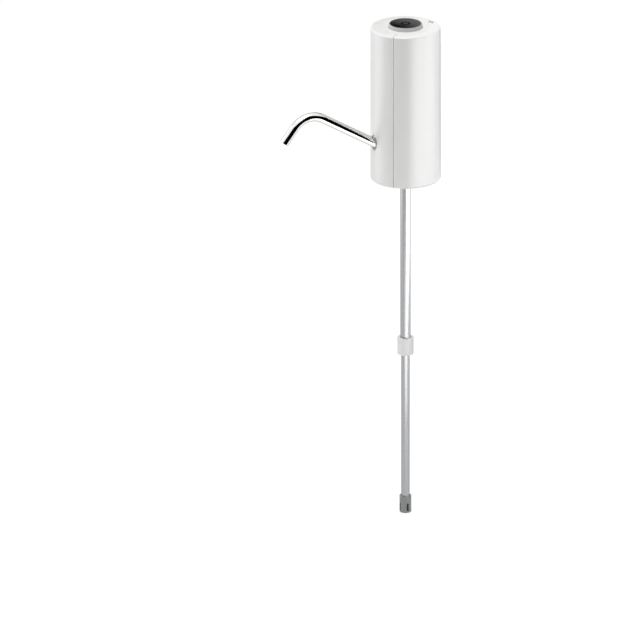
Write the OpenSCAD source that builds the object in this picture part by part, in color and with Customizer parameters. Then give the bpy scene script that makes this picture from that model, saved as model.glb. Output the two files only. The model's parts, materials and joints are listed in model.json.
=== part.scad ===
// Electric wine aerator: a rechargeable pump head that plugs into the neck of a wine bottle.
// A gear pump draws wine up a telescopic dip tube, a venturi jet mixes air into it
// and the bent steel spout pours it into the glass.
// Sizes are in millimetres. +Z is up and the spout points along -X.
// The origin is the centre of the bottle's mouth, on the plane where the lip seats.

/* [Body] */
// Diameter of the body at its bottom rim
body_d = 48; // [47.6:0.2:54]
// Radius the outer wall loses from the rim to the top
draft = 0.3; // [0:0.05:0.4]
// Thickness of the shell wall at the top
wall = 2.1; // [1.7:0.1:2.2]
// Height of the top face above the bottle's lip
head_h = 96; // [93:1:120]
// Depth of the skirt below the bottle's lip
skirt_depth = 12; // [8:1:20]
// Rounding of the outer top edge
edge_r = 1.2; // [0.6:0.1:1.8]
// Rounding of the outer bottom edge
rim_round = 1.2; // [0.4:0.1:1.6]
// Angle from the spout to each seam of the front cover
seam_a = 45; // [40:1:52]
// Width of the seams between the outer pieces
seam_gap = 0.3; // [0.2:0.05:0.5]

/* [Top and button] */
// Diameter of the cap set into the top face
cap_d = 30.8; // [30:0.2:33]
// Thickness of the top cap
cap_t = 2.2; // [1.8:0.1:2.8]
// Diameter of the push button
button_d = 21.3; // [18:0.1:21.6]
// Height of the button's face above the top
button_rise = 2.6; // [1.6:0.1:4]
// Width of the light ring's rim at its top
bezel_rim = 0.4; // [0.3:0.05:0.6]
// Extra radius of the light ring at its foot
bezel_flare = 0.45; // [0.1:0.05:0.6]
// Travel of the button
button_travel = 0.8; // [0.4:0.1:1]
// Depth of the dish in the button's face
button_dish = 0.3; // [0.1:0.05:0.5]

/* [Spout] */
// Outside diameter of the spout tube
spout_d = 6; // [5:0.1:6.4]
// Wall of the spout tube
spout_wall = 0.5; // [0.3:0.1:0.8]
// Height above the lip where the spout's axis leaves the body
spout_exit_z = 16.8; // [16.4:0.1:18]
// Angle of the spout's straight run above level
spout_rise_a = 31; // [28:1:34]
// Length of the straight run outside the body
spout_run = 43.8; // [25:0.1:80]
// Radius of the spout's bend
spout_bend_r = 16; // [10:0.5:30]
// Angle that the bend turns through
spout_turn_a = 83; // [60:1:120]
// Straight length after the bend
spout_tip = 12.7; // [5:0.1:40]

/* [Bottle seat] */
// Inside diameter of the bottle's mouth
bottle_bore_d = 18.5; // [17.5:0.1:20]
// Extra diameter of the stopper's ribs that grips the mouth
stopper_squeeze = 0.3; // [0.1:0.1:0.8]
// Diameter of the socket round the bottle's lip
socket_d = 34; // [31:0.5:35]
// Thickness of the stopper's flange under the roof
flange_t = 2.5; // [2.2:0.1:3.5]
// Thickness of the collar's roof
roof_t = 2.5; // [2:0.1:3.5]
// Number of ribs on the stopper
rib_n = 4; // [2:1:5]
// Width of one rib
rib_w = 2.2; // [1.5:0.1:2.8]
// Distance from rib to rib
rib_pitch = 4.2; // [3.4:0.1:5]
// Depth of the grooves between the ribs
rib_depth = 0.8; // [0.4:0.1:1.2]
// Length of the tapered nose of the stopper
nose_len = 3.2; // [2:0.1:6]

/* [Dip tube] */
// Outside diameter of the upper tube
tube_d = 7; // [6.6:0.1:7.4]
// Wall of both tubes
tube_wall = 0.4; // [0.3:0.05:0.5]
// Length of the upper tube below the lip
upper_len = 135; // [100:1:160]
// Outside diameter of the lower tube
lower_d = 5.8; // [5:0.1:5.9]
// Length of the lower tube
lower_len = 128; // [100:1:140]
// Length of the guide at the top of the lower tube
guide_len = 12; // [8:0.5:20]
// Length of the gland at the joint of the tubes
gland_len = 12; // [10:0.5:18]
// Length of the intake strainer
strainer_len = 12; // [9:0.5:18]

/* [Pump] */
// Module of the pump gears
gear_module = 1.1; // [1:0.02:1.14]
// Teeth on each gear
gear_teeth = 10; // [10:1:10]
// Thickness of the gears
gear_t = 6; // [4:0.1:7]
// Pressure angle of the teeth
pressure_a = 25; // [24:0.5:28]
// Wall between the gear chamber and the end of the housing
pump_wall = 4.4; // [4.3:0.1:4.8]
// Height of the flow block
block_h = 14; // [13.6:0.1:16]
// Thickness of the pump gasket
gasket_t = 0.6; // [0.4:0.1:1]
// Thickness of the port plate
port_plate_t = 2; // [1.6:0.1:3]
// Thickness of the housing above the gears
pump_lid_t = 4; // [3.6:0.1:5]
// Radius of the liquid ports
port_r = 1.5; // [1.2:0.1:1.6]

/* [Motor and cell] */
// Diameter of the motor can
motor_d = 24; // [22:0.1:24.6]
// Length of the motor can
motor_len = 27; // [26:0.5:36]
// Thickness of the motor can's sheet
can_t = 0.9; // [0.6:0.1:1.2]
// Diameter of the motor shaft
shaft_d = 2; // [1.6:0.1:2.4]
// Thickness of the motor plate
motor_plate_t = 2; // [1.8:0.1:3]
// Diameter of the cell
cell_d = 14; // [12:0.1:14.4]
// Length of the cell
cell_len = 43; // [40:0.5:45]

/* [Electronics] */
// Thickness of the control board
board_t = 1.2; // [0.8:0.1:1.6]
// Width of the charging socket
usb_w = 8.94; // [8:0.02:9.2]
// Height of the charging socket
usb_h = 3.26; // [2.8:0.02:3.6]
// Length of the charging socket
usb_len = 7.35; // [6.5:0.05:8.5]
// Side of the push switch
switch_w = 6; // [5:0.1:7]
// Height of the push switch's body
switch_h = 3.5; // [3:0.1:4.5]

/* [Fits] */
// Gap between pieces that are assembled
fit = 0.1; // [0.05:0.01:0.14]
// Running gap of shafts and slides
run_gap = 0.05; // [0.02:0.01:0.08]
// Nominal diameter of the screws
screw_d = 2; // [1.8:0.1:2.1]

/* [Hidden] */
$fn = 96;
// Overlap that makes joined shapes one solid, and the extra depth of cuts
bite = 0.5;
past = 1;

// Heights of the body
rim_z = -skirt_depth;
top_z = head_h;
rim_r = body_d / 2;
top_r = rim_r - draft;
bore_r = top_r - wall;

// Top cap, light ring and button
cap_r = cap_d / 2;
ledge_t = 2;
ledge_w = 1.8;
ledge_r = cap_r - ledge_w;
ledge_z = top_z - cap_t;
hook_t = 1.2;
hook_a = 20;
button_r = button_d / 2;
bezel_bore_r = button_r + fit;
bezel_top_r = bezel_bore_r + bezel_rim;
bezel_foot_r = bezel_top_r + bezel_flare;
bezel_rise = button_rise - 0.2;
bezel_flange_t = 1;
bezel_flange_r = ledge_r - hook_t - 3 * fit;
bezel_z = ledge_z - bezel_flange_t;
button_flange_t = 0.8;
button_flange_z = bezel_z - fit - button_flange_t;
button_edge = 0.35;
symbol_r = 3.2;
symbol_w = 0.5;
symbol_depth = 0.25;
post_r = 2.2;

// Seams, tongue and hooks between front cover and rear shell
tongue_t = 1;
tongue_w = 1.2;
tongue_end = 0.8;
tongue_r = bore_r + fit + tongue_t;
tongue_a = tongue_w / bore_r * 180 / PI;
gap_a = seam_gap / bore_r * 180 / PI;
clip_t = 1.2;
clip_h = 6;
clip_root_a = 2.5;
clip_reach_a = 4;
clip_n = 3;

// Bottle seat
plug_r = (bottle_bore_d + stopper_squeeze) / 2;
socket_r = socket_d / 2;
collar_r = bore_r - fit;
roof_z = flange_t;
block_z = roof_z + roof_t;
bead_h = 1.1;
bead_r = 0.5;
vent_w = 1.4;
vent_d = 1;
plug_len = (rib_n - 1) * rib_pitch + rib_w;
mouth_chamfer = 0.8;

// Screws
screw_r = screw_d / 2;
pilot_r = screw_r + run_gap;
clear_r = screw_r + fit;
head_r = screw_r * 1.65;
head_h_screw = screw_d * 0.65;
head_clear_r = head_r + fit;
slot_w = screw_d * 0.22;
slot_depth = screw_d * 0.3;

// Gears
gear_cd = gear_module * gear_teeth;
gear_rp = gear_cd / 2;
gear_rb = gear_rp * cos(pressure_a);
gear_ra = gear_rp + 0.86 * gear_module;
gear_rf = gear_rp - 1.25 * gear_module;
gear_thin = 0.06;
gear_thin_a = gear_thin / gear_rp * 180 / PI;
flank_steps = 6;
flank_r = [for (i = [0:flank_steps]) gear_rb + (gear_ra - gear_rb) * i / flank_steps];
half_pitch_a = 180 / gear_teeth;
shaft_r = shaft_d / 2;

// Stack of flow block, pump, motor, cell and board
motor_r = motor_d / 2;
motor_side_gap = 2.6;
motor_x = motor_side_gap + motor_r - bore_r;
driven_x = motor_x + gear_cd;
mid_x = motor_x + gear_cd / 2;
chamber_r = gear_ra + 3 * run_gap;
chamber_h = gear_t + 4 * run_gap;
pump_r = chamber_r + pump_wall;
gasket_z = block_z + block_h;
port_plate_z = gasket_z + gasket_t;
pump_z = port_plate_z + port_plate_t;
gear_z = pump_z + 2 * run_gap;
lid_z = pump_z + chamber_h;
motor_plate_z = lid_z + pump_lid_t;
motor_z = motor_plate_z + motor_plate_t;
motor_top = motor_z + motor_len;
port_y = 3.3;
pump_screw_dx = gear_cd / 2 + 3.6;
pump_screw_y = 8;
motor_screw_y = 8;
cell_r = cell_d / 2;
cell_gap = 0.8;
cell_x = motor_x + motor_r + cell_gap + cell_r;
cell_floor_t = 1;
tab_t = 0.2;
floor_z = motor_z + 4 * fit;
cell_z = floor_z + cell_floor_t + tab_t;
cell_top = cell_z + cell_len;
deck_gap = 1;
deck_t = 2;
deck_z = max(cell_top + tab_t, motor_top + 6) + deck_gap;
standoff_h = 1.4;
board_z = deck_z + deck_t + standoff_h;
board_top = board_z + board_t;
plunger_r = 1.7;
plunger_rise = 0.8;
plunger_top = board_top + switch_h + plunger_rise;
usb_z = board_top + usb_h / 2;
usb_end = top_r - 1;

// Spout and its socket
spout_r = spout_d / 2;
spout_bore_r = spout_r - spout_wall;
bend_thin = 0.01;
bend_lap = 0.4;
socket_end_r = bore_r - 4 * fit;
spout_in_r = 17;
jet_in_r = 11;
chamber_in_r = 8.8;
spout_socket_r = spout_r + run_gap;
boss_r = spout_r + 2.6;
jet_r = spout_r;
jet_throat_r = 1.1;
jet_mouth_r = 2.2;
jet_face_gap = 0.15;
mix_r = 1.9;
channel_r = 1.3;
ring_cord_r = 0.7;
spout_ring_back = 1.1;
spout_ring_at = spout_in_r + spout_ring_back;
air_r = 0.6;
air_seat_r = 1.7;
air_seat_y = 4.5;
grommet_gap = 0.1;
grommet_wall = 1.4;
grommet_r = spout_r + grommet_gap + grommet_wall;
spout_hole_r = grommet_r + fit;
recess = 0.9;

// Dip tube
tube_r = tube_d / 2;
tube_bore_r = tube_r - tube_wall;
lower_r = lower_d / 2;
lower_bore_r = lower_r - tube_wall;
tube_top = block_z + 6;
tube_bottom = -upper_len;
lip_h = 1;
lower_top = tube_bottom + lip_h + guide_len;
lower_bottom = lower_top - lower_len;
guide_r = tube_bore_r - run_gap;
inlet_ring_cord = 0.8;
inlet_ring_z = block_z + 2.8;
inlet_chamber_r = 2.6;
inlet_chamber_h = 2.5;
gland_ring_cord = 0.8;
gland_ring_r = lower_r + gland_ring_cord + run_gap / 2;
gland_r = max(gland_ring_r + gland_ring_cord, tube_r) + 1.1;
gland_grip = gland_len * 0.55;
gland_seat_h = 2 * gland_ring_cord + 2 * fit;
gland_top = tube_bottom + gland_grip;
gland_bottom = gland_top - gland_len;
strainer_grip = strainer_len * 0.35;
strainer_wall = 1.2;
strainer_top = lower_bottom + strainer_grip;
strainer_bottom = strainer_top - strainer_len;
strainer_slot_w = 1.6;
strainer_slot_n = 4;

// Chassis
ring_t = 3;
ring_in_r = bore_r - 4.4;
ring_out_r = bore_r - 4 * fit;
ring_notch = 8;
rail_x = 3;
rail_y0 = 16;
rail_y1 = bore_r - 2.2;
rail_screw_y = (rail_y0 + rail_y1) / 2;
rail_low_z = gasket_z + 5;
rail_high_z = deck_z - 9;
shell_boss_r = 2.3;
shell_boss_len = 12;
collar_screw_r = (socket_r + collar_r) / 2;
collar_screw_n = 3;
collar_head_z = flange_t - 1;
collar_boss_h = 8;
collar_boss_r = 2;
block_screw_x = 10.5;
block_screw_y = 8.2;
block_screw_len = 5;
cradle_t = 1.2;
cradle_gap = 0.25;
board_r = bore_r - 2.2;
board_screw_r = 16.2;
board_screw_n = 3;
standoff_r = 2.3;
lead_r = 0.6;
lead_hole_r = 1.3;
motor_lead_y = 7.5;
cell_lead_x = cell_x - 6.2;
cell_lead_y = 9.4;

// Motor internals
front_boss_r = 3;
front_boss_h = motor_plate_t - 2 * fit;
bush_r = 2.2;
magnet_t = 1.45;
magnet_a = 130;
armature_r = motor_r - can_t - magnet_t - 0.5;
armature_z0 = motor_z + 5;
armature_z1 = motor_top - 7;
winding_h = 2.2;
winding_r = armature_r - 1.2;
slot_n = 3;
commutator_r = 2.6;
commutator_z = motor_top - 4.5;
commutator_h = 4;
winding_clear = 0.4;
brush_arm_z = armature_z1 + winding_h + winding_clear;
end_cap_t = 3.5;
end_plug_h = 1;
terminal_h = 3;

// Point at a radius and an angle in a plane
function polar(r, a) = [r * cos(a), r * sin(a)];

// Angle that an involute has turned at radius r
function involute_a(r) =
  let (t = sqrt(max(0, r * r / (gear_rb * gear_rb) - 1)))
  t * 180 / PI - atan(t);

// Half the angle that a tooth takes at radius r
function tooth_half_a(r) =
  90 / gear_teeth - gear_thin_a + involute_a(gear_rp) - involute_a(max(r, gear_rb));

// Outline of the tooth that is centred on angle a
function tooth_points(a) = concat(
  [polar(gear_rf, a - tooth_half_a(gear_rb))],
  [for (r = flank_r) polar(r, a - tooth_half_a(r))],
  [for (i = [flank_steps:-1:0]) polar(flank_r[i], a + tooth_half_a(flank_r[i]))],
  [polar(gear_rf, a + tooth_half_a(gear_rb))]
);

// Distance along the spout's axis, from where it leaves the body, at a radius from the body's axis
function along(r) = (r - rim_r) / cos(spout_rise_a);

// Frame whose +Z runs outward along the spout's axis
module on_spout() {
  translate([-rim_r, 0, spout_exit_z])
    rotate([0, spout_rise_a - 90, 0])
      children();
}

// Round bar from point p to point q
module rod(p, q, r) {
  v = q - p;
  translate(p)
    rotate([0, acos(v[2] / norm(v)), atan2(v[1], v[0])])
      cylinder(h = norm(v), r = r);
}

// Ring between two radii
module ring(r_in, r_out, h) {
  difference() {
    cylinder(h = h, r = r_out);
    translate([0, 0, -past])
      cylinder(h = h + 2 * past, r = r_in);
  }
}

// Part of a ring from angle a0 over angle a
module arc_block(r_in, r_out, z, h, a0, a) {
  rotate([0, 0, a0])
    rotate_extrude(angle = a)
      translate([r_in, z])
        square([r_out - r_in, h]);
}

// Screw with a pan head above z = 0, a cross recess and its shank below
module pan_screw(len) {
  difference() {
    union() {
      cylinder(h = head_h_screw, r = head_r);
      translate([0, 0, -len])
        cylinder(h = len + bite, r = screw_r);
    }
    for (a = [0, 90])
      rotate([0, 0, a])
        translate([-head_r * 0.6, -slot_w / 2, head_h_screw - slot_depth])
          cube([head_r * 1.2, slot_w, slot_depth + past]);
  }
}

// Screw with a countersunk head flush at z = 0 and its shank below
module flat_screw(len) {
  difference() {
    union() {
      translate([0, 0, -screw_r])
        cylinder(h = screw_r, r1 = screw_r, r2 = 2 * screw_r);
      translate([0, 0, -len])
        cylinder(h = len - bite, r = screw_r);
    }
    for (a = [0, 90])
      rotate([0, 0, a])
        translate([-head_r * 0.6, -slot_w / 2, -slot_depth])
          cube([head_r * 1.2, slot_w, slot_depth + past]);
  }
}

// Hole for a countersunk screw, open at z = 0 and going down
module flat_hole(len) {
  translate([0, 0, -screw_r - fit])
    cylinder(h = screw_r, r1 = screw_r, r2 = 2 * screw_r);
  translate([0, 0, -fit])
    cylinder(h = past, r = 2 * screw_r + fit);
  translate([0, 0, -len])
    cylinder(h = len, r = clear_r);
}

// Outline with round ends over both gear axes
module stadium(r) {
  translate([motor_x, 0])
    circle(r);
  translate([driven_x, 0])
    circle(r);
  translate([motor_x, -r])
    square([gear_cd, 2 * r]);
}

// Places of the four pump screws
module at_pump_screws() {
  for (x = [-1, 1], y = [-1, 1])
    translate([mid_x + x * pump_screw_dx, y * pump_screw_y, 0])
      children();
}

// Places of the three screws that hold the flow block
module at_block_screws() {
  translate([block_screw_x, 0, 0])
    children();
  for (y = [-1, 1])
    translate([mid_x, y * block_screw_y, 0])
      children();
}

// Places of the screws from the collar into the chassis
module at_collar_screws() {
  for (i = [0:collar_screw_n - 1])
    rotate([0, 0, 360 * i / collar_screw_n])
      translate([collar_screw_r, 0, 0])
        children();
}

// Places of the board's screws
module at_board_screws() {
  for (i = [0:board_screw_n - 1])
    rotate([0, 0, 60 + 360 * i / board_screw_n])
      translate([board_screw_r, 0, 0])
        children();
}

// Places of the screws that hold the rear shell, with +Z along +X
module at_shell_screws() {
  for (y = [-1, 1], z = [rail_low_z, rail_high_z])
    translate([0, y * rail_screw_y, z])
      rotate([0, 90, 0])
        children();
}

// Profile of the shell wall with its top rim and the ledge for the cap
module shell_profile() {
  difference() {
    polygon([
      [bore_r, rim_z],
      [rim_r, rim_z],
      [rim_r, rim_z + rim_round],
      [top_r, top_z - edge_r],
      [top_r, top_z],
      [cap_r + seam_gap, top_z],
      [cap_r + seam_gap, ledge_z],
      [ledge_r, ledge_z],
      [ledge_r, ledge_z - ledge_t],
      [bore_r, ledge_z - ledge_t]
    ]);
    translate([top_r - edge_r, top_z - edge_r])
      difference() {
        square(edge_r + past);
        circle(edge_r);
      }
    translate([rim_r - rim_round, rim_z + rim_round])
      difference() {
        translate([0, -rim_round - past])
          square(rim_round + past);
        circle(rim_round);
      }
  }
}

// Thin slit at both seams
module seam_slits() {
  for (s = [-1, 1])
    rotate([0, 0, 180 + s * seam_a])
      translate([0, -seam_gap / 2, rim_z - past])
        cube([rim_r + past, seam_gap, top_z - rim_z + 2 * past]);
}

// Strips that start at each seam and run under the front cover by angle a
module tongue_strips(r_in, r_out, gap, a, back_a) {
  z = rim_z + tongue_end - gap;
  h = ledge_z - ledge_t - rim_z - 2 * (tongue_end - gap);
  arc_block(r_in, r_out, z, h, 180 + seam_a - a, a + back_a);
  arc_block(r_in, r_out, z, h, 180 - seam_a - back_a, a + back_a);
}

// Clips of the front cover that reach behind the rear shell
module cover_clips() {
  root_a = tongue_a + 2 * gap_a;
  span_a = clip_root_a + root_a + clip_reach_a;
  z0 = block_z + collar_boss_h + 4;
  step = (ledge_z - ledge_t - clip_h - 4 - z0) / (clip_n - 1);
  for (i = [0:clip_n - 1]) {
    z = z0 + i * step;
    r_in = bore_r - clip_t;
    r_out = bore_r - fit;
    arc_block(r_in, r_out, z, clip_h, 180 + seam_a - root_a - clip_root_a, span_a);
    arc_block(r_in, r_out, z, clip_h, 180 - seam_a - clip_reach_a, span_a);
    arc_block(r_in, bore_r + bite, z, clip_h, 180 + seam_a - root_a - clip_root_a, clip_root_a);
    arc_block(r_in, bore_r + bite, z, clip_h, 180 - seam_a + root_a, clip_root_a);
  }
}

module rear_shell() {
  color("WhiteSmoke")
    difference() {
      union() {
        difference() {
          rotate([0, 0, seam_a - 180])
            rotate_extrude(angle = 360 - 2 * seam_a)
              shell_profile();
          seam_slits();
        }
        tongue_strips(tongue_r - tongue_t, tongue_r, 0, tongue_a, 2 * tongue_a);
        intersection() {
          at_shell_screws()
            translate([0, 0, rail_x + fit])
              cylinder(h = shell_boss_len, r = shell_boss_r);
          translate([0, 0, rim_z])
            cylinder(h = top_z - rim_z, r = bore_r + bite);
        }
      }
      at_shell_screws()
        cylinder(h = rail_x + shell_boss_len - 2, r = pilot_r);
      usb_slot();
    }
}

// Opening in the rear shell for the charging plug
module usb_slot() {
  translate([bore_r - past, 0, usb_z])
    rotate([90, 0, 90])
      linear_extrude(height = wall + draft + 2 * past)
        slot_outline(usb_w + 6 * fit, usb_h + 6 * fit);
}

// Round-ended slot
module slot_outline(w, h) {
  square([w - h, h], center = true);
  for (s = [-1, 1])
    translate([s * (w - h) / 2, 0])
      circle(h / 2);
}

module front_cover() {
  color("White")
    difference() {
      union() {
        difference() {
          rotate([0, 0, 180 - seam_a])
            rotate_extrude(angle = 2 * seam_a)
              shell_profile();
          seam_slits();
          tongue_strips(bore_r - past, tongue_r + fit, fit, tongue_a + gap_a, gap_a);
        }
        cover_clips();
      }
      on_spout()
        translate([0, 0, along(bore_r - 4 * wall)])
          cylinder(h = 8 * wall, r = spout_hole_r);
    }
}

module top_cap() {
  color("White")
    union() {
      translate([0, 0, ledge_z])
        ring(bezel_foot_r + fit, cap_r, cap_t);
      for (i = [0:2]) {
        a = 30 + 120 * i;
        r_in = ledge_r - hook_t;
        z = ledge_z - ledge_t - hook_t;
        arc_block(r_in, ledge_r - fit, z, ledge_t + hook_t + bite, a, hook_a);
        arc_block(r_in, ledge_r + hook_t / 2, z, hook_t - fit, a, hook_a);
      }
    }
}

module button_bezel() {
  color("Silver")
    rotate_extrude()
      polygon([
        [bezel_bore_r, bezel_z],
        [bezel_flange_r, bezel_z],
        [bezel_flange_r, ledge_z],
        [bezel_foot_r, ledge_z],
        [bezel_foot_r, top_z],
        [bezel_top_r, top_z + bezel_rise],
        [bezel_bore_r, top_z + bezel_rise]
      ]);
}

module button_cap() {
  face_z = top_z + button_rise;
  dish_edge_r = button_r - 2 * button_edge;
  dish_r = (dish_edge_r * dish_edge_r + button_dish * button_dish) / (2 * button_dish);
  color("Black")
    difference() {
      rotate_extrude()
        polygon([
          [0, plunger_top],
          [post_r, plunger_top],
          [post_r, button_flange_z],
          [bezel_flange_r - 4 * fit, button_flange_z],
          [bezel_flange_r - 4 * fit, button_flange_z + button_flange_t],
          [button_r, button_flange_z + button_flange_t],
          [button_r, face_z - button_edge],
          [button_r - button_edge, face_z],
          [0, face_z]
        ]);
      translate([0, 0, face_z + dish_r - button_dish])
        sphere(r = dish_r, $fn = 200);
      translate([0, 0, face_z - button_dish - symbol_depth])
        ring(symbol_r - symbol_w, symbol_r, button_dish + symbol_depth + past);
    }
}

module switch_plunger() {
  depth = plunger_rise + button_travel + 0.8;
  color("DimGray")
    translate([0, 0, plunger_top - depth])
      cylinder(h = depth, r = plunger_r);
}

module tact_switch() {
  bore_depth = 2 * button_travel + 1.2;
  color("DarkSlateGray")
    difference() {
      translate([-switch_w / 2, -switch_w / 2, board_top])
        cube([switch_w, switch_w, switch_h]);
      translate([0, 0, board_top + switch_h - bore_depth])
        cylinder(h = bore_depth + past, r = plunger_r + run_gap);
    }
}

module control_board() {
  color("DarkGreen")
    difference() {
      translate([0, 0, board_z])
        cylinder(h = board_t, r = board_r);
      at_board_screws()
        translate([0, 0, board_z - past])
          cylinder(h = board_t + 2 * past, r = clear_r);
    }
}

module usb_socket() {
  shell_t = 0.3;
  tongue_h = 0.7;
  back = 1.2;
  color("LightSteelBlue")
    translate([usb_end - usb_len, 0, usb_z])
      rotate([90, 0, 90])
        union() {
          difference() {
            linear_extrude(height = usb_len)
              slot_outline(usb_w, usb_h);
            translate([0, 0, back])
              linear_extrude(height = usb_len)
                slot_outline(usb_w - 2 * shell_t, usb_h - 2 * shell_t);
          }
          translate([-usb_w * 0.375, -tongue_h / 2, back - bite])
            cube([usb_w * 0.75, tongue_h, usb_len - back - bite]);
        }
}

module indicator_leds() {
  led = [1.6, 2, 0.8];
  color("LightYellow")
    for (i = [0:3])
      rotate([0, 0, 45 + 90 * i])
        translate([bezel_flange_r - led[0], -led[1] / 2, board_top])
          cube(led);
}

module board_chips() {
  chip_h = standoff_h - 0.5;
  color("DarkSlateGray")
    for (p = [[motor_x - 5, -4, 5, 6], [motor_x - 5.5, 5, 4, 4], [motor_x + 6, -13, 6, 5]])
      translate([p[0], p[1], board_z - chip_h])
        cube([p[2], p[3], chip_h]);
}

module board_screws() {
  color("Silver")
    at_board_screws()
      translate([0, 0, board_top])
        pan_screw(board_t + standoff_h + deck_t - 0.6);
}

module chassis() {
  cradle_in = cell_r + cradle_gap;
  cradle_out = cradle_in + cradle_t;
  color("DimGray")
    difference() {
      union() {
        difference() {
          translate([0, 0, block_z])
            ring(ring_in_r, ring_out_r, ring_t);
          translate([-rim_r, -ring_notch, block_z - past])
            cube([rim_r, 2 * ring_notch, ring_t + 2 * past]);
        }
        at_collar_screws()
          translate([0, 0, block_z])
            cylinder(h = collar_boss_h, r = collar_boss_r);
        for (y = [-1, 1])
          translate([-rail_x, y > 0 ? rail_y0 : -rail_y1, block_z])
            cube([2 * rail_x, rail_y1 - rail_y0, deck_z + bite - block_z]);
        translate([0, 0, deck_z])
          cylinder(h = deck_t, r = bore_r - 8 * fit);
        at_board_screws()
          translate([0, 0, deck_z])
            cylinder(h = deck_t + standoff_h, r = standoff_r);
        intersection() {
          translate([cell_x, 0, floor_z])
            difference() {
              cylinder(h = deck_z + bite - floor_z, r = cradle_out);
              translate([0, 0, cell_floor_t])
                cylinder(h = deck_z - floor_z, r = cradle_in);
              translate([-cradle_out - cell_r * 0.3, -cradle_out - past, cell_floor_t])
                cube([cradle_out, 2 * cradle_out + 2 * past, deck_z - floor_z - cell_floor_t]);
            }
          translate([0, 0, floor_z])
            cylinder(h = deck_z + deck_t - floor_z, r = bore_r - 4 * fit);
        }
      }
      at_collar_screws()
        translate([0, 0, block_z - past])
          cylinder(h = collar_boss_h, r = pilot_r);
      at_board_screws()
        translate([0, 0, deck_z - past])
          cylinder(h = deck_t + standoff_h + 2 * past, r = pilot_r);
      at_shell_screws() {
        translate([0, 0, -rail_x - past])
          cylinder(h = 2 * rail_x + 2 * past, r = clear_r);
        translate([0, 0, -rail_x - past])
          cylinder(h = rail_x + past, r = head_clear_r);
      }
      translate([motor_x, 0, floor_z - past])
        cylinder(h = cell_floor_t + 2 * past, r = motor_r + 3 * fit);
      translate([motor_x - 2.5, -motor_lead_y - 2, deck_z - past])
        cube([5, 2 * motor_lead_y + 4, deck_t + 2 * past]);
      translate([cell_x, 0, deck_z - past])
        cylinder(h = deck_t + 2 * past, r = 2 * lead_hole_r);
      translate([cell_lead_x, cell_lead_y, deck_z - past])
        cylinder(h = deck_t + 2 * past, r = lead_hole_r);
    }
}

module shell_screws() {
  color("Silver")
    at_shell_screws()
      rotate([180, 0, 0])
        pan_screw(shell_boss_len - 1);
}

module neck_collar() {
  color("WhiteSmoke")
    difference() {
      translate([0, 0, rim_z])
        cylinder(h = block_z - rim_z, r = collar_r);
      translate([0, 0, rim_z - past])
        cylinder(h = roof_z - rim_z + past, r = socket_r);
      translate([0, 0, rim_z - past])
        cylinder(h = past + mouth_chamfer, r1 = socket_r + mouth_chamfer + past, r2 = socket_r);
      translate([0, 0, (flange_t - bead_h) / 2 - fit])
        cylinder(h = bead_h + 2 * fit, r = socket_r + bead_r + fit);
      translate([0, 0, roof_z - past])
        cylinder(h = roof_t + 2 * past, r = tube_r + bite);
      at_collar_screws() {
        translate([0, 0, rim_z - past])
          cylinder(h = collar_head_z - rim_z + past, r = head_clear_r);
        translate([0, 0, rim_z])
          cylinder(h = block_z - rim_z + past, r = clear_r);
      }
      at_block_screws()
        translate([0, 0, roof_z])
          rotate([180, 0, 0])
            flat_hole(roof_t + past);
    }
}

module collar_screws() {
  color("Silver")
    at_collar_screws()
      translate([0, 0, collar_head_z])
        rotate([180, 0, 0])
          pan_screw(block_z - collar_head_z + collar_boss_h - 2);
}

module bottle_stopper() {
  color("Gainsboro")
    difference() {
      rotate_extrude()
        difference() {
          union() {
            square([socket_r - fit, flange_t]);
            translate([0, (flange_t - bead_h) / 2])
              square([socket_r + bead_r, bead_h]);
            translate([0, -plug_len])
              square([plug_r - rib_depth, plug_len + bite]);
            for (i = [0:rib_n - 1])
              translate([0, -i * rib_pitch - rib_w])
                square([plug_r, rib_w]);
            polygon([
              [0, -plug_len - nose_len],
              [plug_r - nose_len * 0.6, -plug_len - nose_len],
              [plug_r, -plug_len],
              [0, -plug_len]
            ]);
          }
          translate([-past, -plug_len - nose_len - past])
            square([tube_r + run_gap + past, plug_len + nose_len + flange_t + 2 * past]);
        }
      rotate([0, 0, 90]) {
        translate([plug_r - vent_d, -vent_w / 2, -plug_len - nose_len - past])
          cube([socket_r, vent_w, plug_len + nose_len + past]);
        translate([plug_r - vent_d, -vent_w / 2, -past])
          cube([socket_r, vent_w, past + bead_r]);
      }
    }
}

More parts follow.
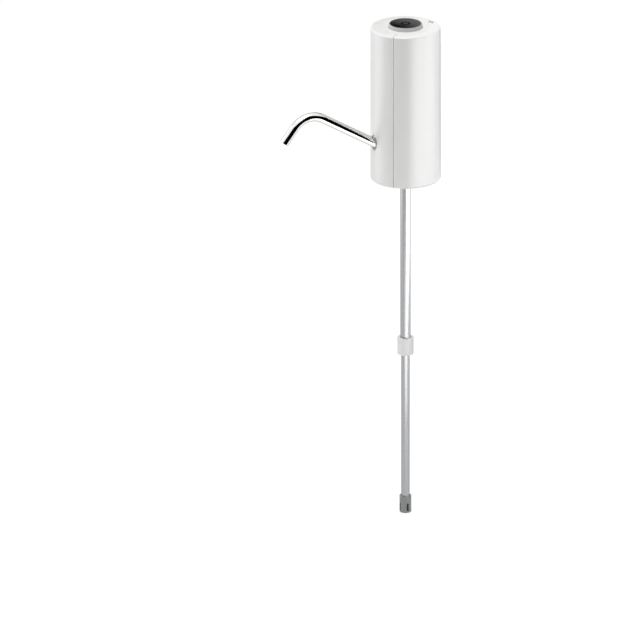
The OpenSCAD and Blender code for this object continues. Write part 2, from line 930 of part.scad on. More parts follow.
module flow_block() {
  color("Ivory")
    difference() {
      union() {
        translate([0, 0, block_z])
          linear_extrude(height = block_h)
            stadium(pump_r);
        intersection() {
          on_spout()
            translate([0, 0, along(chamber_in_r)])
              cylinder(h = along(rim_r + wall) - along(chamber_in_r), r = boss_r);
          translate([0, 0, block_z])
            cylinder(h = block_h, r = socket_end_r);
        }
      }
      translate([0, 0, block_z - past])
        cylinder(h = tube_top - block_z + past, r = tube_r + run_gap);
      translate([0, 0, inlet_ring_z - inlet_ring_cord - fit])
        cylinder(h = 2 * (inlet_ring_cord + fit), r = tube_r + 2 * inlet_ring_cord + run_gap);
      translate([0, 0, tube_top - bite])
        cylinder(h = inlet_chamber_h + bite, r = inlet_chamber_r);
      translate([mid_x, port_y, tube_top + fit])
        cylinder(h = block_z + block_h - tube_top, r = port_r);
      translate([mid_x, -port_y, gasket_z - 2.4])
        cylinder(h = 2.4 + past, r = port_r);
      rod([mid_x, -port_y, gasket_z - 2.4], [-jet_in_r + 1.4, 0, gasket_z - 2.4], channel_r);
      rod([-jet_in_r + 1.4, 0, spout_exit_z + along(jet_in_r - 1.4) * sin(spout_rise_a)],
          [-jet_in_r + 1.4, 0, gasket_z - 2.4 + channel_r / 2], channel_r);
      on_spout() {
        translate([0, 0, along(chamber_in_r)])
          cylinder(h = along(jet_in_r) - along(chamber_in_r) + bite, r = mix_r);
        translate([0, 0, along(jet_in_r)])
          cylinder(h = -along(jet_in_r), r = spout_socket_r);
        translate([0, 0, along(spout_ring_at) - ring_cord_r - fit])
          cylinder(h = 2 * (ring_cord_r + fit), r = spout_r + 2 * ring_cord_r + run_gap);
        translate([0, 0, along((jet_in_r + spout_in_r) / 2)])
          rotate([-90, 0, 0]) {
            cylinder(h = air_seat_y + bite, r = air_r);
            translate([0, 0, air_seat_y])
              cylinder(h = pump_r, r = air_seat_r + run_gap);
          }
      }
      at_pump_screws() {
        translate([0, 0, block_z - past])
          cylinder(h = block_h + 2 * past, r = clear_r);
        translate([0, 0, block_z - past])
          cylinder(h = head_h_screw + bite + past, r = head_clear_r);
      }
      at_block_screws()
        translate([0, 0, block_z - past])
          cylinder(h = block_screw_len + past, r = pilot_r);
    }
}

module block_screws() {
  color("Silver")
    at_block_screws()
      translate([0, 0, roof_z + fit / 2])
        rotate([180, 0, 0])
          flat_screw(roof_t + block_screw_len - 0.6);
}

// Sealing ring with a round cord that lies on a bar of radius r
module o_ring(r, cord_r) {
  rotate_extrude()
    translate([r + cord_r, 0])
      circle(cord_r);
}

module inlet_o_ring() {
  color("DarkRed")
    translate([0, 0, inlet_ring_z])
      o_ring(tube_r + run_gap / 2, inlet_ring_cord);
}

module aerator_jet() {
  jet_len = along(spout_in_r) - along(jet_in_r);
  color("White")
    on_spout()
      translate([0, 0, along(jet_in_r)])
        difference() {
          rotate_extrude()
            polygon([
              [jet_mouth_r, 0],
              [jet_r, 0],
              [jet_r, jet_len],
              [jet_mouth_r, jet_len],
              [jet_throat_r, jet_len / 2]
            ]);
          translate([0, 0, jet_len / 2])
            rotate([-90, 0, 0])
              cylinder(h = jet_r + past, r = air_r);
        }
}

module air_valve() {
  len = 2.6;
  color("Gray")
    on_spout()
      translate([0, air_seat_y, along((jet_in_r + spout_in_r) / 2)])
        rotate([-90, 0, 0])
          ring(air_r * 0.7, air_seat_r, len);
}

module spout_o_ring() {
  color("DarkRed")
    on_spout()
      translate([0, 0, along(spout_ring_at)])
        o_ring(spout_r + run_gap / 2, ring_cord_r);
}

module spout_grommet() {
  color("Gray")
    difference() {
      intersection() {
        on_spout()
          translate([0, 0, along(spout_in_r)])
            cylinder(h = 2 * (along(rim_r) - along(spout_in_r)), r = grommet_r);
        translate([0, 0, block_z])
          cylinder(h = 2 * spout_exit_z, r = top_r - recess);
      }
      translate([0, 0, rim_z])
        cylinder(h = top_z - rim_z, r = socket_end_r + fit);
      on_spout()
        translate([0, 0, along(spout_in_r)])
          cylinder(h = 4 * (along(rim_r) - along(spout_in_r)), r = spout_r + grommet_gap);
    }
}

// Path of the spout as a solid bar of radius r, longer by extra at both ends
module spout_bar(r, extra) {
  in_len = -along(spout_in_r) - jet_face_gap;
  lap_a = bend_lap / spout_bend_r * 180 / PI;
  on_spout() {
    translate([0, 0, -in_len - extra])
      cylinder(h = in_len + spout_run + extra, r = r);
    translate([-spout_bend_r, 0, spout_run])
      rotate([90, 0, 0])
        rotate([0, 0, -lap_a])
          rotate_extrude(angle = spout_turn_a + 2 * lap_a)
            translate([spout_bend_r, 0])
              circle(r - bend_thin);
    translate([-spout_bend_r, 0, spout_run])
      rotate([0, -spout_turn_a, 0])
        translate([spout_bend_r, 0, 0])
          cylinder(h = spout_tip + extra, r = r);
  }
}

module spout_tube() {
  color("Silver")
    difference() {
      spout_bar(spout_r, 0);
      spout_bar(spout_bore_r, past);
    }
}

// Holes for the pump screws through a plate
module pump_screw_holes(z, h, r) {
  at_pump_screws()
    translate([0, 0, z - past])
      cylinder(h = h + 2 * past, r = r);
}

// Both liquid ports through a plate
module port_holes(z, h) {
  for (y = [-1, 1])
    translate([mid_x, y * port_y, z - past])
      cylinder(h = h + 2 * past, r = port_r);
}

module pump_gasket() {
  color("DimGray")
    difference() {
      translate([0, 0, gasket_z])
        linear_extrude(height = gasket_t)
          stadium(pump_r);
      port_holes(gasket_z, gasket_t);
      pump_screw_holes(gasket_z, gasket_t, clear_r);
    }
}

module port_plate() {
  color("Silver")
    difference() {
      translate([0, 0, port_plate_z])
        linear_extrude(height = port_plate_t)
          stadium(pump_r);
      port_holes(port_plate_z, port_plate_t);
      pump_screw_holes(port_plate_z, port_plate_t, clear_r);
      translate([driven_x, 0, port_plate_z + bite])
        cylinder(h = port_plate_t, r = shaft_r);
    }
}

module pump_housing() {
  color("Ivory")
    difference() {
      translate([0, 0, pump_z])
        linear_extrude(height = chamber_h + pump_lid_t)
          stadium(pump_r);
      for (x = [motor_x, driven_x])
        translate([x, 0, pump_z - past])
          cylinder(h = chamber_h + past, r = chamber_r);
      translate([motor_x, 0, pump_z])
        cylinder(h = chamber_h + pump_lid_t + past, r = shaft_r + 2 * run_gap);
      translate([motor_x, 0, motor_plate_z - pump_lid_t / 2])
        cylinder(h = pump_lid_t, r = front_boss_r + run_gap);
      translate([driven_x, 0, lid_z - past])
        cylinder(h = past + pump_lid_t / 2, r = shaft_r);
      pump_screw_holes(pump_z, chamber_h + pump_lid_t, clear_r);
    }
}

module idler_pin() {
  z0 = port_plate_z + bite;
  color("Silver")
    translate([driven_x, 0, z0])
      cylinder(h = lid_z + pump_lid_t / 2 - z0, r = shaft_r);
}

// One pump gear about the Z axis with its bore
module pump_gear(bore) {
  translate([0, 0, gear_z])
    difference() {
      linear_extrude(height = gear_t)
        polygon([for (i = [0:gear_teeth - 1]) each tooth_points(360 * i / gear_teeth)]);
      translate([0, 0, -past])
        cylinder(h = gear_t + 2 * past, r = bore);
    }
}

module drive_gear() {
  color("SteelBlue")
    translate([motor_x, 0, 0])
      pump_gear(shaft_r);
}

module driven_gear() {
  color("LightSteelBlue")
    translate([driven_x, 0, 0])
      rotate([0, 0, half_pitch_a])
        pump_gear(shaft_r + run_gap);
}

module shaft_seal() {
  color("DimGray")
    translate([motor_x, 0, motor_plate_z - pump_lid_t / 2])
      ring(shaft_r + run_gap, front_boss_r, pump_lid_t / 2 - fit);
}

module motor_plate() {
  color("Silver")
    difference() {
      translate([0, 0, motor_plate_z])
        linear_extrude(height = motor_plate_t)
          union() {
            stadium(pump_r);
            translate([motor_x, 0])
              circle(motor_r);
          }
      translate([motor_x, 0, motor_plate_z - past])
        cylinder(h = motor_plate_t + 2 * past, r = front_boss_r + run_gap);
      pump_screw_holes(motor_plate_z, motor_plate_t, pilot_r);
      for (y = [-1, 1])
        translate([motor_x, y * motor_screw_y, motor_plate_z])
          rotate([180, 0, 0])
            flat_hole(motor_plate_t + past);
    }
}

module pump_screws() {
  z0 = block_z + head_h_screw + bite;
  color("Silver")
    at_pump_screws()
      translate([0, 0, z0])
        rotate([180, 0, 0])
          pan_screw(motor_z - fit - z0);
}

module motor_screws() {
  color("Silver")
    for (y = [-1, 1])
      translate([motor_x, y * motor_screw_y, motor_plate_z + fit / 2])
        rotate([180, 0, 0])
          flat_screw(motor_plate_t + can_t + past);
}

module motor_can() {
  color("Silver")
    translate([motor_x, 0, motor_z])
      difference() {
        rotate_extrude()
          polygon([
            [bush_r, -front_boss_h],
            [front_boss_r, -front_boss_h],
            [front_boss_r, 0],
            [motor_r, 0],
            [motor_r, motor_len],
            [motor_r - can_t, motor_len],
            [motor_r - can_t, can_t],
            [bush_r, can_t]
          ]);
        for (y = [-1, 1])
          translate([0, y * motor_screw_y, -past])
            cylinder(h = can_t + 2 * past, r = pilot_r);
      }
}

module motor_bushes() {
  front_h = front_boss_h + can_t;
  color("DarkGoldenrod")
    translate([motor_x, 0, 0]) {
      translate([0, 0, motor_z - front_boss_h])
        ring(shaft_r + run_gap, bush_r, front_h);
      translate([0, 0, motor_top + end_plug_h / 2])
        ring(shaft_r + run_gap, bush_r, end_cap_t / 2);
    }
}

module motor_magnets() {
  color("DarkSlateGray")
    translate([motor_x, 0, 0])
      for (a = [0, 180])
        arc_block(motor_r - can_t - magnet_t, motor_r - can_t, armature_z0 - 1,
                  armature_z1 - armature_z0 + 2, a - magnet_a / 2, magnet_a);
}

module motor_shaft() {
  color("Silver")
    translate([motor_x, 0, gear_z])
      cylinder(h = motor_top + end_plug_h / 2 + end_cap_t / 2 - gear_z, r = shaft_r);
}

module armature() {
  pole_gap = 2;
  core_r = armature_r * 0.45;
  neck_h = armature_r * 0.3;
  color("Gray")
    translate([motor_x, 0, armature_z0])
      linear_extrude(height = armature_z1 - armature_z0)
        difference() {
          circle(armature_r);
          for (i = [0:slot_n - 1])
            rotate(360 * i / slot_n) {
              translate([core_r, -pole_gap / 2])
                square([armature_r, pole_gap]);
              translate([core_r, -neck_h])
                square([armature_r * 0.3, 2 * neck_h]);
            }
          circle(shaft_r);
        }
}

module rotor_windings() {
  color("Chocolate")
    translate([motor_x, 0, 0])
      for (z = [armature_z0 - winding_h, armature_z1])
        translate([0, 0, z])
          ring(shaft_r, winding_r, winding_h);
}

module commutator() {
  color("Peru")
    translate([motor_x, 0, commutator_z])
      ring(shaft_r, commutator_r, commutator_h);
}

module motor_brushes() {
  brush = [2.4, 2, 2.6];
  color("DimGray")
    translate([motor_x, 0, commutator_z + commutator_h / 2 - brush[2] / 2])
      for (a = [0, 180])
        rotate([0, 0, a])
          translate([commutator_r + run_gap, -brush[1] / 2, 0])
            cube(brush);
}

module motor_end_cap() {
  arm = [4.5, 3, motor_top - brush_arm_z];
  color("DarkSlateGray")
    translate([motor_x, 0, 0])
      difference() {
        union() {
          translate([0, 0, motor_top])
            cylinder(h = end_cap_t, r = motor_r);
          translate([0, 0, motor_top - end_plug_h])
            ring(motor_r - can_t - 2, motor_r - can_t - fit, end_plug_h + bite);
          for (a = [0, 180])
            rotate([0, 0, a])
              translate([commutator_r + 2.4 + run_gap, -arm[1] / 2, motor_top - arm[2]])
                cube([arm[0], arm[1], arm[2] + bite]);
        }
        translate([0, 0, motor_top - past])
          cylinder(h = past + end_plug_h / 2, r = commutator_r + 0.6);
        translate([0, 0, motor_top])
          cylinder(h = end_plug_h / 2 + end_cap_t / 2, r = bush_r);
      }
}

module motor_terminals() {
  tab = [0.5, 2.2, terminal_h];
  color("Goldenrod")
    for (y = [-1, 1])
      translate([motor_x - tab[0] / 2, y * motor_lead_y - tab[1] / 2, motor_top + end_cap_t])
        cube(tab);
}

module motor_leads() {
  z0 = motor_top + end_cap_t + terminal_h;
  color("Red")
    for (y = [-1, 1])
      translate([motor_x, y * motor_lead_y, z0])
        cylinder(h = board_z - z0, r = lead_r);
}

module battery_cell() {
  edge = 0.6;
  color("SteelBlue")
    translate([cell_x, 0, cell_z])
      rotate_extrude()
        polygon([
          [0, 0],
          [cell_r - edge, 0],
          [cell_r, edge],
          [cell_r, cell_len - edge],
          [cell_r - edge, cell_len],
          [0, cell_len]
        ]);
}

module battery_tabs() {
  tab_w = 4;
  lead_len = norm([cell_lead_x - cell_x, cell_lead_y]) + lead_r;
  color("Silver") {
    translate([cell_x, 0, cell_z - tab_t])
      rotate([0, 0, atan2(cell_lead_y, cell_lead_x - cell_x)])
        translate([-tab_w / 2, -tab_w / 2, 0])
          cube([lead_len + tab_w / 2, tab_w, tab_t]);
    translate([cell_x - tab_w / 2, -tab_w / 2, cell_top])
      cube([tab_w, tab_w, tab_t]);
  }
}

module battery_leads() {
  color("Red") {
    translate([cell_lead_x, cell_lead_y, cell_z])
      cylinder(h = board_z - cell_z, r = lead_r);
    translate([cell_x, 0, cell_top + tab_t])
      cylinder(h = board_z - cell_top - tab_t, r = lead_r);
  }
}

module dip_tube_upper() {
  color("Silver")
    difference() {
      translate([0, 0, tube_bottom])
        cylinder(h = tube_top - tube_bottom, r = tube_r);
      translate([0, 0, tube_bottom + lip_h])
        cylinder(h = tube_top - tube_bottom, r = tube_bore_r);
      translate([0, 0, tube_bottom - past])
        cylinder(h = lip_h + 2 * past, r = lower_r + run_gap);
    }
}

module tube_gland() {
  seat_z = tube_bottom - fit - gland_seat_h;
  color("WhiteSmoke")
    difference() {
      translate([0, 0, gland_bottom])
        cylinder(h = gland_len, r = gland_r);
      translate([0, 0, tube_bottom - fit])
        cylinder(h = gland_grip + 2 * past, r = tube_r + run_gap);
      translate([0, 0, seat_z])
        cylinder(h = gland_seat_h + fit, r = gland_ring_r + gland_ring_cord + run_gap);
      translate([0, 0, gland_bottom - past])
        cylinder(h = gland_len, r = lower_r + run_gap);
    }
}

module gland_o_ring() {
  color("DarkRed")
    translate([0, 0, tube_bottom - 2 * fit - gland_ring_cord])
      o_ring(lower_r + run_gap / 2, gland_ring_cord);
}

module dip_tube_lower() {
  color("LightGray")
    difference() {
      union() {
        translate([0, 0, lower_bottom])
          cylinder(h = lower_len, r = lower_r);
        translate([0, 0, lower_top - guide_len])
          cylinder(h = guide_len, r = guide_r);
      }
      translate([0, 0, lower_bottom - past])
        cylinder(h = lower_len + 2 * past, r = lower_bore_r);
    }
}

module intake_strainer() {
  slot_h = strainer_len - strainer_grip - strainer_wall - 1;
  color("Gray")
    difference() {
      translate([0, 0, strainer_bottom])
        cylinder(h = strainer_len, r = lower_r + strainer_wall);
      translate([0, 0, lower_bottom])
        cylinder(h = strainer_grip + past, r = lower_r);
      translate([0, 0, strainer_bottom + strainer_wall])
        cylinder(h = strainer_len, r = lower_bore_r);
      for (i = [0:strainer_slot_n / 2 - 1])
        rotate([0, 0, 360 * i / strainer_slot_n])
          translate([-2 * lower_r, -strainer_slot_w / 2, strainer_bottom + strainer_wall])
            cube([4 * lower_r, strainer_slot_w, slot_h]);
    }
}

rear_shell();
front_cover();
top_cap();
button_bezel();
button_cap();
switch_plunger();
tact_switch();
control_board();
usb_socket();
indicator_leds();
board_chips();
board_screws();
chassis();
shell_screws();
neck_collar();
collar_screws();
bottle_stopper();
flow_block();
block_screws();
inlet_o_ring();
aerator_jet();
air_valve();
spout_o_ring();
spout_grommet();
spout_tube();
pump_gasket();
port_plate();
pump_housing();
idler_pin();
drive_gear();
driven_gear();
shaft_seal();
motor_plate();
pump_screws();
motor_screws();
motor_can();
motor_bushes();
motor_magnets();
motor_shaft();
armature();
rotor_windings();
commutator();
motor_brushes();
motor_end_cap();
motor_terminals();
motor_leads();
battery_cell();
battery_tabs();
battery_leads();
dip_tube_upper();
tube_gland();
gland_o_ring();
dip_tube_lower();
intake_strainer();
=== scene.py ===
"""Electric wine aerator: finishes, rounded shells, spout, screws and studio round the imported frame."""

import json
import logging
import math
from dataclasses import dataclass
from enum import Enum
from typing import Any, Callable, Optional, Sequence

import bmesh
import bpy
from bmesh.types import BMesh, BMVert
from bpy.types import ID, Material, Node, NodeSocket, NodeTree, Object, Scene
from mathutils import Matrix, Vector


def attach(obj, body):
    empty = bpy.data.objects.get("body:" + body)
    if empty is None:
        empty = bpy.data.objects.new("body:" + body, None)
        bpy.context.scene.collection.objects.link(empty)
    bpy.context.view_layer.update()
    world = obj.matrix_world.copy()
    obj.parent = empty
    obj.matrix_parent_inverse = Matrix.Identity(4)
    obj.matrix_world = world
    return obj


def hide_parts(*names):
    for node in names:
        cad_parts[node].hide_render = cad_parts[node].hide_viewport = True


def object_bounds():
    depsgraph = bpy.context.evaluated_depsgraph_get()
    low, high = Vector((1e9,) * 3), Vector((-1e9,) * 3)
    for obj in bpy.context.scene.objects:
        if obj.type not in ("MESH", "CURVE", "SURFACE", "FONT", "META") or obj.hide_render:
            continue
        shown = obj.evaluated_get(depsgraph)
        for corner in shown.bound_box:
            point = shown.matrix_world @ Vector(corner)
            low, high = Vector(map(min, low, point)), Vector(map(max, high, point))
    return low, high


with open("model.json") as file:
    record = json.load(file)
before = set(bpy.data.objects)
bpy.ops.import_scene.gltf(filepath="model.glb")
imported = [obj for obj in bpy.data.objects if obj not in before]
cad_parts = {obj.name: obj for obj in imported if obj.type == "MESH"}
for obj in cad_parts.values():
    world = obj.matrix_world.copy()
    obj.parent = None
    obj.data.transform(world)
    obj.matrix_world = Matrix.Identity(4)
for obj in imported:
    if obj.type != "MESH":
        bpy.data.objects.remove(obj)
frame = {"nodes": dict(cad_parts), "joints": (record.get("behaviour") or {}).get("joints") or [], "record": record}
cad_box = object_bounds()

LOG = logging.getLogger("wine_aerator")
MM = 0.001
WELD = 0.0001 * MM
COPLANAR = math.radians(0.3)
CREASE = math.radians(30)
SKIN_SLACK = math.radians(3)
ROUND_STEPS = 4
UP = Vector((0, 0, 1))
# Noise values that give a finish its least and its greatest roughness, and the noise's detail
GRIT_SPAN = (0.3, 0.7)
GRIT_DETAIL = 2.0
# Places of sockets that share a name: the Mix node's two colours and its colour output, and the Random Value
# node's upper bound and output as a plain number
MIX_FIRST, MIX_SECOND, MIX_OUT = 6, 7, 2
RANDOM_MOST, RANDOM_OUT = 3, 1

BODY_OF: dict[str, str] = {
    node: body for body, nodes in frame["record"]["behaviour"]["bodies"].items() for node in nodes
}
SLOT_OF: dict[str, str] = {part["node"]: part["material_slot"] for part in frame["record"]["subparts"]}

# Half the corners of the charging mark, as shares of its width and length from its middle
BOLT_HALF = ((-0.1, -0.5), (0.5, 0.05), (0.15, 0.05))

Pick = Callable[[float, float], bool]
Skin = Callable[[Vector], Optional[Vector]]


def srgb(code: str) -> tuple[float, float, float, float]:
    """Turns an sRGB hex colour into linear light.

    Args:
        code: Six hex digits, red first.

    Returns:
        Linear red, green and blue, with an alpha of 1.
    """
    shares = [int(code[i:i + 2], 16) / 255 for i in (0, 2, 4)]
    red, green, blue = (s / 12.92 if s <= 0.04045 else ((s + 0.055) / 1.055) ** 2.4 for s in shares)
    return red, green, blue, 1.0


def add_node(tree: NodeTree, kind: str, inputs: Optional[dict] = None, **settings: Any) -> Node:
    """Adds a node with its settings and fills or links its inputs.

    Args:
        tree: The tree that takes the node.
        kind: The node's type name.
        inputs: A value, another node's output or a node with its first output, by the input's name or place.
        settings: Properties of the node itself.

    Returns:
        The new node.
    """
    node = tree.nodes.new(kind)
    for name, value in settings.items():
        setattr(node, name, value)
    for key, value in (inputs or {}).items():
        if isinstance(value, Node):
            value = value.outputs[0]
        if isinstance(value, NodeSocket):
            tree.links.new(value, node.inputs[key])
        else:
            node.inputs[key].default_value = value
    return node


def empty_tree(owner: ID) -> NodeTree:
    """Gives a new material or world a node tree with nothing in it.

    Args:
        owner: The material or world.

    Returns:
        Its tree.
    """
    owner.use_nodes = True
    owner.node_tree.nodes.clear()
    return owner.node_tree


class Grain(Enum):
    """How a surface was made. The value is the pattern's stretch along X, Y and Z."""

    MOULDED = (1.0, 1.0, 1.0)
    POLISHED = (1.0, 1.0, 2.0)
    DRAWN = (1.0, 1.0, 60.0)
    TURNED = (60.0, 60.0, 1.0)
    PRESSED = (1.0, 1.0, 0.8)


@dataclass(frozen=True)
class Finish:
    """One real material with the surface that its making left.

    The pattern's pitch is a real size in millimetres. Grit finer than 0.5 mm is drawn that coarse, so that
    it still shows.
    """

    name: str
    colour: str
    roughness: float
    grain: Grain = Grain.MOULDED
    pitch_mm: float = 0.5
    relief_mm: float = 0.0
    swing: float = 0.0
    shade: str = ""
    metallic: float = 0.0
    ior: float = 1.5
    coat: float = 0.0
    coat_roughness: float = 0.05
    edge_tint: str = "FFFFFF"
    specular: float = 0.5

    def build(self) -> Material:
        """Builds the material.

        Returns:
            A material whose pattern lies on Object coordinates.
        """
        material = bpy.data.materials.new(self.name)
        tree = empty_tree(material)
        surface: dict[Any, Any] = {
            "Base Color": srgb(self.colour),
            "Roughness": self.roughness,
            "Metallic": self.metallic,
            "IOR": self.ior,
            "Coat Weight": self.coat,
            "Coat Roughness": self.coat_roughness,
            "Specular Tint": srgb(self.edge_tint),
            "Specular IOR Level": self.specular,
        }
        grit = self._grit(tree)
        if self.shade:
            ends = {MIX_FIRST: srgb(self.shade), MIX_SECOND: srgb(self.colour)}
            mixed = add_node(tree, "ShaderNodeMix", {0: grit, **ends}, data_type="RGBA")
            surface["Base Color"] = mixed.outputs[MIX_OUT]
        if self.swing:
            least, most = GRIT_SPAN
            gloss = add_node(tree, "ShaderNodeMapRange", {
                "Value": grit, "From Min": least, "From Max": most,
                "To Min": self.roughness - self.swing, "To Max": self.roughness + self.swing,
            })
            surface["Roughness"] = gloss
        if self.relief_mm:
            bump = add_node(tree, "ShaderNodeBump", {"Height": grit, "Distance": self.relief_mm * MM})
            surface["Normal"] = bump
        shader = add_node(tree, "ShaderNodeBsdfPrincipled", surface)
        add_node(tree, "ShaderNodeOutputMaterial", {"Surface": shader})
        return material

    def _grit(self, tree: NodeTree) -> NodeSocket:
        """Adds the grain's pattern.

        Args:
            tree: The material's tree.

        Returns:
            The pattern's output, from 0 to 1.
        """
        place = add_node(tree, "ShaderNodeTexCoord")
        scale = [1 / (self.pitch_mm * MM * stretch) for stretch in self.grain.value]
        spread = add_node(tree, "ShaderNodeMapping", {"Vector": place.outputs["Object"], "Scale": scale})
        noise = add_node(tree, "ShaderNodeTexNoise", {"Vector": spread, "Scale": 1.0, "Detail": GRIT_DETAIL})
        return noise.outputs["Fac"]


FINISHES: dict[str, Finish] = {
    # Satin white moulding: a smooth even skin with a soft wide highlight
    "white_cover": Finish("abs_moulded_satin_white", "EBEBEA", 0.42, swing=0.03, relief_mm=0.0015, ior=1.54,
                          coat=0.5, coat_roughness=0.32),
    # The same plastic from a plainer tool, so a little duller
    "collar_plastic": Finish("abs_moulded_plain_white", "DEDEDD", 0.45, swing=0.04, relief_mm=0.003,
                             ior=1.54),
    # Frosted light guide: greyer than the shell, with an even soft gloss
    "light_ring": Finish("polycarbonate_moulded_frosted", "C0C0BF", 0.38, swing=0.04, relief_mm=0.002,
                         ior=1.58),
    # Polished black face that faintly mirrors what is round it
    "button_black": Finish("acrylic_moulded_gloss_black", "0B0B0C", 0.08, swing=0.015, pitch_mm=4.0,
                           ior=1.49),
    # Black moulded nylon with a dull grit
    "switch_plastic": Finish("nylon_moulded_black", "1A1A1C", 0.5, swing=0.05, relief_mm=0.004, ior=1.53),
    # Green lacquer over the weave of the board
    "circuit_board": Finish("glass_epoxy_solder_masked", "1F6B3A", 0.38, pitch_mm=0.8, relief_mm=0.004,
                            shade="185A30", ior=1.55),
    # Bright nickel plate over a stamped or headed blank
    "plated_steel": Finish("steel_nickel_plated", "C4C2BC", 0.24, Grain.POLISHED, swing=0.06, metallic=1.0),
    # Cast resin of the indicator lamps, warm and glossy
    "led_resin": Finish("epoxy_cast_pale_yellow", "EDE8C0", 0.15, ior=1.55, coat=0.4),
    # Charcoal moulding of the inner frame, with a visible tool grit
    "chassis_plastic": Finish("abs_moulded_charcoal", "3A3A3C", 0.5, swing=0.06, relief_mm=0.005, ior=1.54),
    # Soft pale silicone: no sharp highlight, a faint sheen from its grit
    "silicone": Finish("silicone_moulded_pale", "D9DAD8", 0.55, swing=0.05, relief_mm=0.005, ior=1.41),
    # Red-brown rubber of the sealing rings, dull against the pale plastic
    "seal_rubber": Finish("nitrile_rubber_moulded", "6E2A22", 0.6, swing=0.05, relief_mm=0.004, ior=1.52),
    # Pale grey silicone of the spout's grommet, softer in its gloss than the shell
    "grommet_silicone": Finish("silicone_moulded_grey", "DCDCDB", 0.5, swing=0.05, relief_mm=0.004, ior=1.41),
    # Natural acetal of the wetted pump parts, cream and waxy
    "pump_plastic": Finish("acetal_moulded_natural", "E0DDD0", 0.42, swing=0.04, relief_mm=0.003, ior=1.48),
    # Cut acetal gears, whiter and smoother on their flanks
    "gear_plastic": Finish("acetal_hobbed_white", "E4E6EA", 0.36, swing=0.04, relief_mm=0.002, ior=1.48),
    # Polished tube: a near mirror whose rim greys where it turns away
    "polished_steel": Finish("stainless_steel_polished", "F2F2F0", 0.05, Grain.POLISHED, pitch_mm=6.0,
                             swing=0.02, metallic=1.0, edge_tint="747474"),
    # Drawn tube with hairlines along its length
    "drawn_steel": Finish("stainless_steel_drawn", "A6A7A9", 0.26, Grain.DRAWN, swing=0.07, relief_mm=0.001,
                          metallic=1.0, edge_tint="A8A8A8"),
    # Turned and ground faces with fine rings
    "machined_steel": Finish("stainless_steel_turned", "B9B9BC", 0.28, Grain.TURNED, swing=0.06,
                             metallic=1.0),
    # Deep drawn can under dull zinc
    "can_steel": Finish("steel_drawn_zinc_plated", "BCBDC0", 0.33, Grain.DRAWN, pitch_mm=0.8, swing=0.06,
                        metallic=1.0),
    # Porous bearing bronze, warm and finely speckled
    "bronze": Finish("bronze_sintered", "B88B52", 0.4, Grain.PRESSED, swing=0.08, shade="A67A44",
                     metallic=1.0),
    # Enamelled magnet wire, laid in close turns
    "copper": Finish("copper_wire_enamelled", "C47A4A", 0.3, Grain.TURNED, relief_mm=0.06, shade="9C5A34",
                     metallic=1.0, coat=0.5),
    # Black pressed ferrite and carbon, dry and gritty
    "ferrite": Finish("ferrite_pressed", "2A2A2C", 0.62, Grain.PRESSED, relief_mm=0.01, swing=0.06, ior=1.6),
    # Red sleeve of the leads, with a soft gloss along them
    "wire_sleeve": Finish("pvc_extruded_red", "A8302A", 0.42, Grain.DRAWN, swing=0.04, ior=1.53),
    # Shrunk film round the cell, glossy with a slight ripple
    "cell_wrap": Finish("pvc_film_shrunk_blue", "2F5FA0", 0.25, pitch_mm=3.0, relief_mm=0.02, ior=1.53,
                        coat=0.3),
    # White moulding that the fingers loosen and tighten, a little glossier than the shell
    "gland_plastic": Finish("polypropylene_moulded_white", "E8E8E7", 0.36, swing=0.04, relief_mm=0.002,
                            ior=1.49),
    # Grey moulding of the strainer foot, dull below the bright tube
    "strainer_plastic": Finish("polypropylene_moulded_grey", "8A8B8C", 0.45, swing=0.05, relief_mm=0.003,
                               ior=1.49),
}

# Thin grey ink of the charging mark, flat and a little dull
GREY_INK = Finish("ink_pad_printed_grey", "A4A4A5", 0.5, swing=0.04, ior=1.5)
# Carbon ink of the button's ring: it swallows light where the face round it shines
BLACK_INK = Finish("ink_pad_printed_carbon", "050505", 0.8, swing=0.04, ior=1.5, specular=0.0)
# Dark grey ink of the small sign, just lighter than the ring round it
SIGN_INK = Finish("ink_pad_printed_dark_grey", "222224", 0.5, swing=0.04, ior=1.5, specular=0.2)


def mesh_piece(name: str, shape: BMesh) -> Object:
    """Turns a worked mesh into an object at the origin and frees it.

    Args:
        name: The object's name.
        shape: The mesh, in metres in the shared frame.

    Returns:
        The object, linked to the scene.
    """
    mesh = bpy.data.meshes.new(name)
    shape.to_mesh(mesh)
    shape.free()
    piece = bpy.data.objects.new(name, mesh)
    bpy.context.scene.collection.objects.link(piece)
    return piece


def bake(piece: Object) -> None:
    """Turns a piece's modifiers into its plain mesh.

    Args:
        piece: The piece, which loses its modifiers and its first mesh.
    """
    graph = bpy.context.evaluated_depsgraph_get()
    made = piece.evaluated_get(graph)
    mesh = bpy.data.meshes.new_from_object(made, preserve_all_data_layers=True, depsgraph=graph)
    piece.modifiers.clear()
    worn = piece.data
    piece.data = mesh
    bpy.data.meshes.remove(worn)
    mesh.name = piece.name


def smooth(piece: Object) -> Object:
    """Shades a piece smooth, keeps its creases and lets wide faces rule the normals.

    Args:
        piece: The piece to shade.

    Returns:
        The same piece.
    """
    piece.data.shade_smooth()
    piece.data.set_sharp_from_angle(angle=CREASE)
    piece.modifiers.new("normals", "WEIGHTED_NORMAL").keep_sharp = True
    bake(piece)
    return piece


def merged_copy(node: str) -> BMesh:
    """Copies a CAD node's mesh, welds it and joins the triangles of its flat faces.

    Args:
        node: The CAD node's name.

    Returns:
        The copy, to be changed freely.
    """
    shape = bmesh.new()
    shape.from_mesh(frame["nodes"][node].data)
    bmesh.ops.remove_doubles(shape, verts=shape.verts, dist=WELD)
    bmesh.ops.dissolve_limit(shape, angle_limit=COPLANAR, verts=shape.verts, edges=shape.edges)
    return shape


def everywhere(radius: float, height: float) -> bool:
    """Picks every sharp edge of a piece."""
    return True


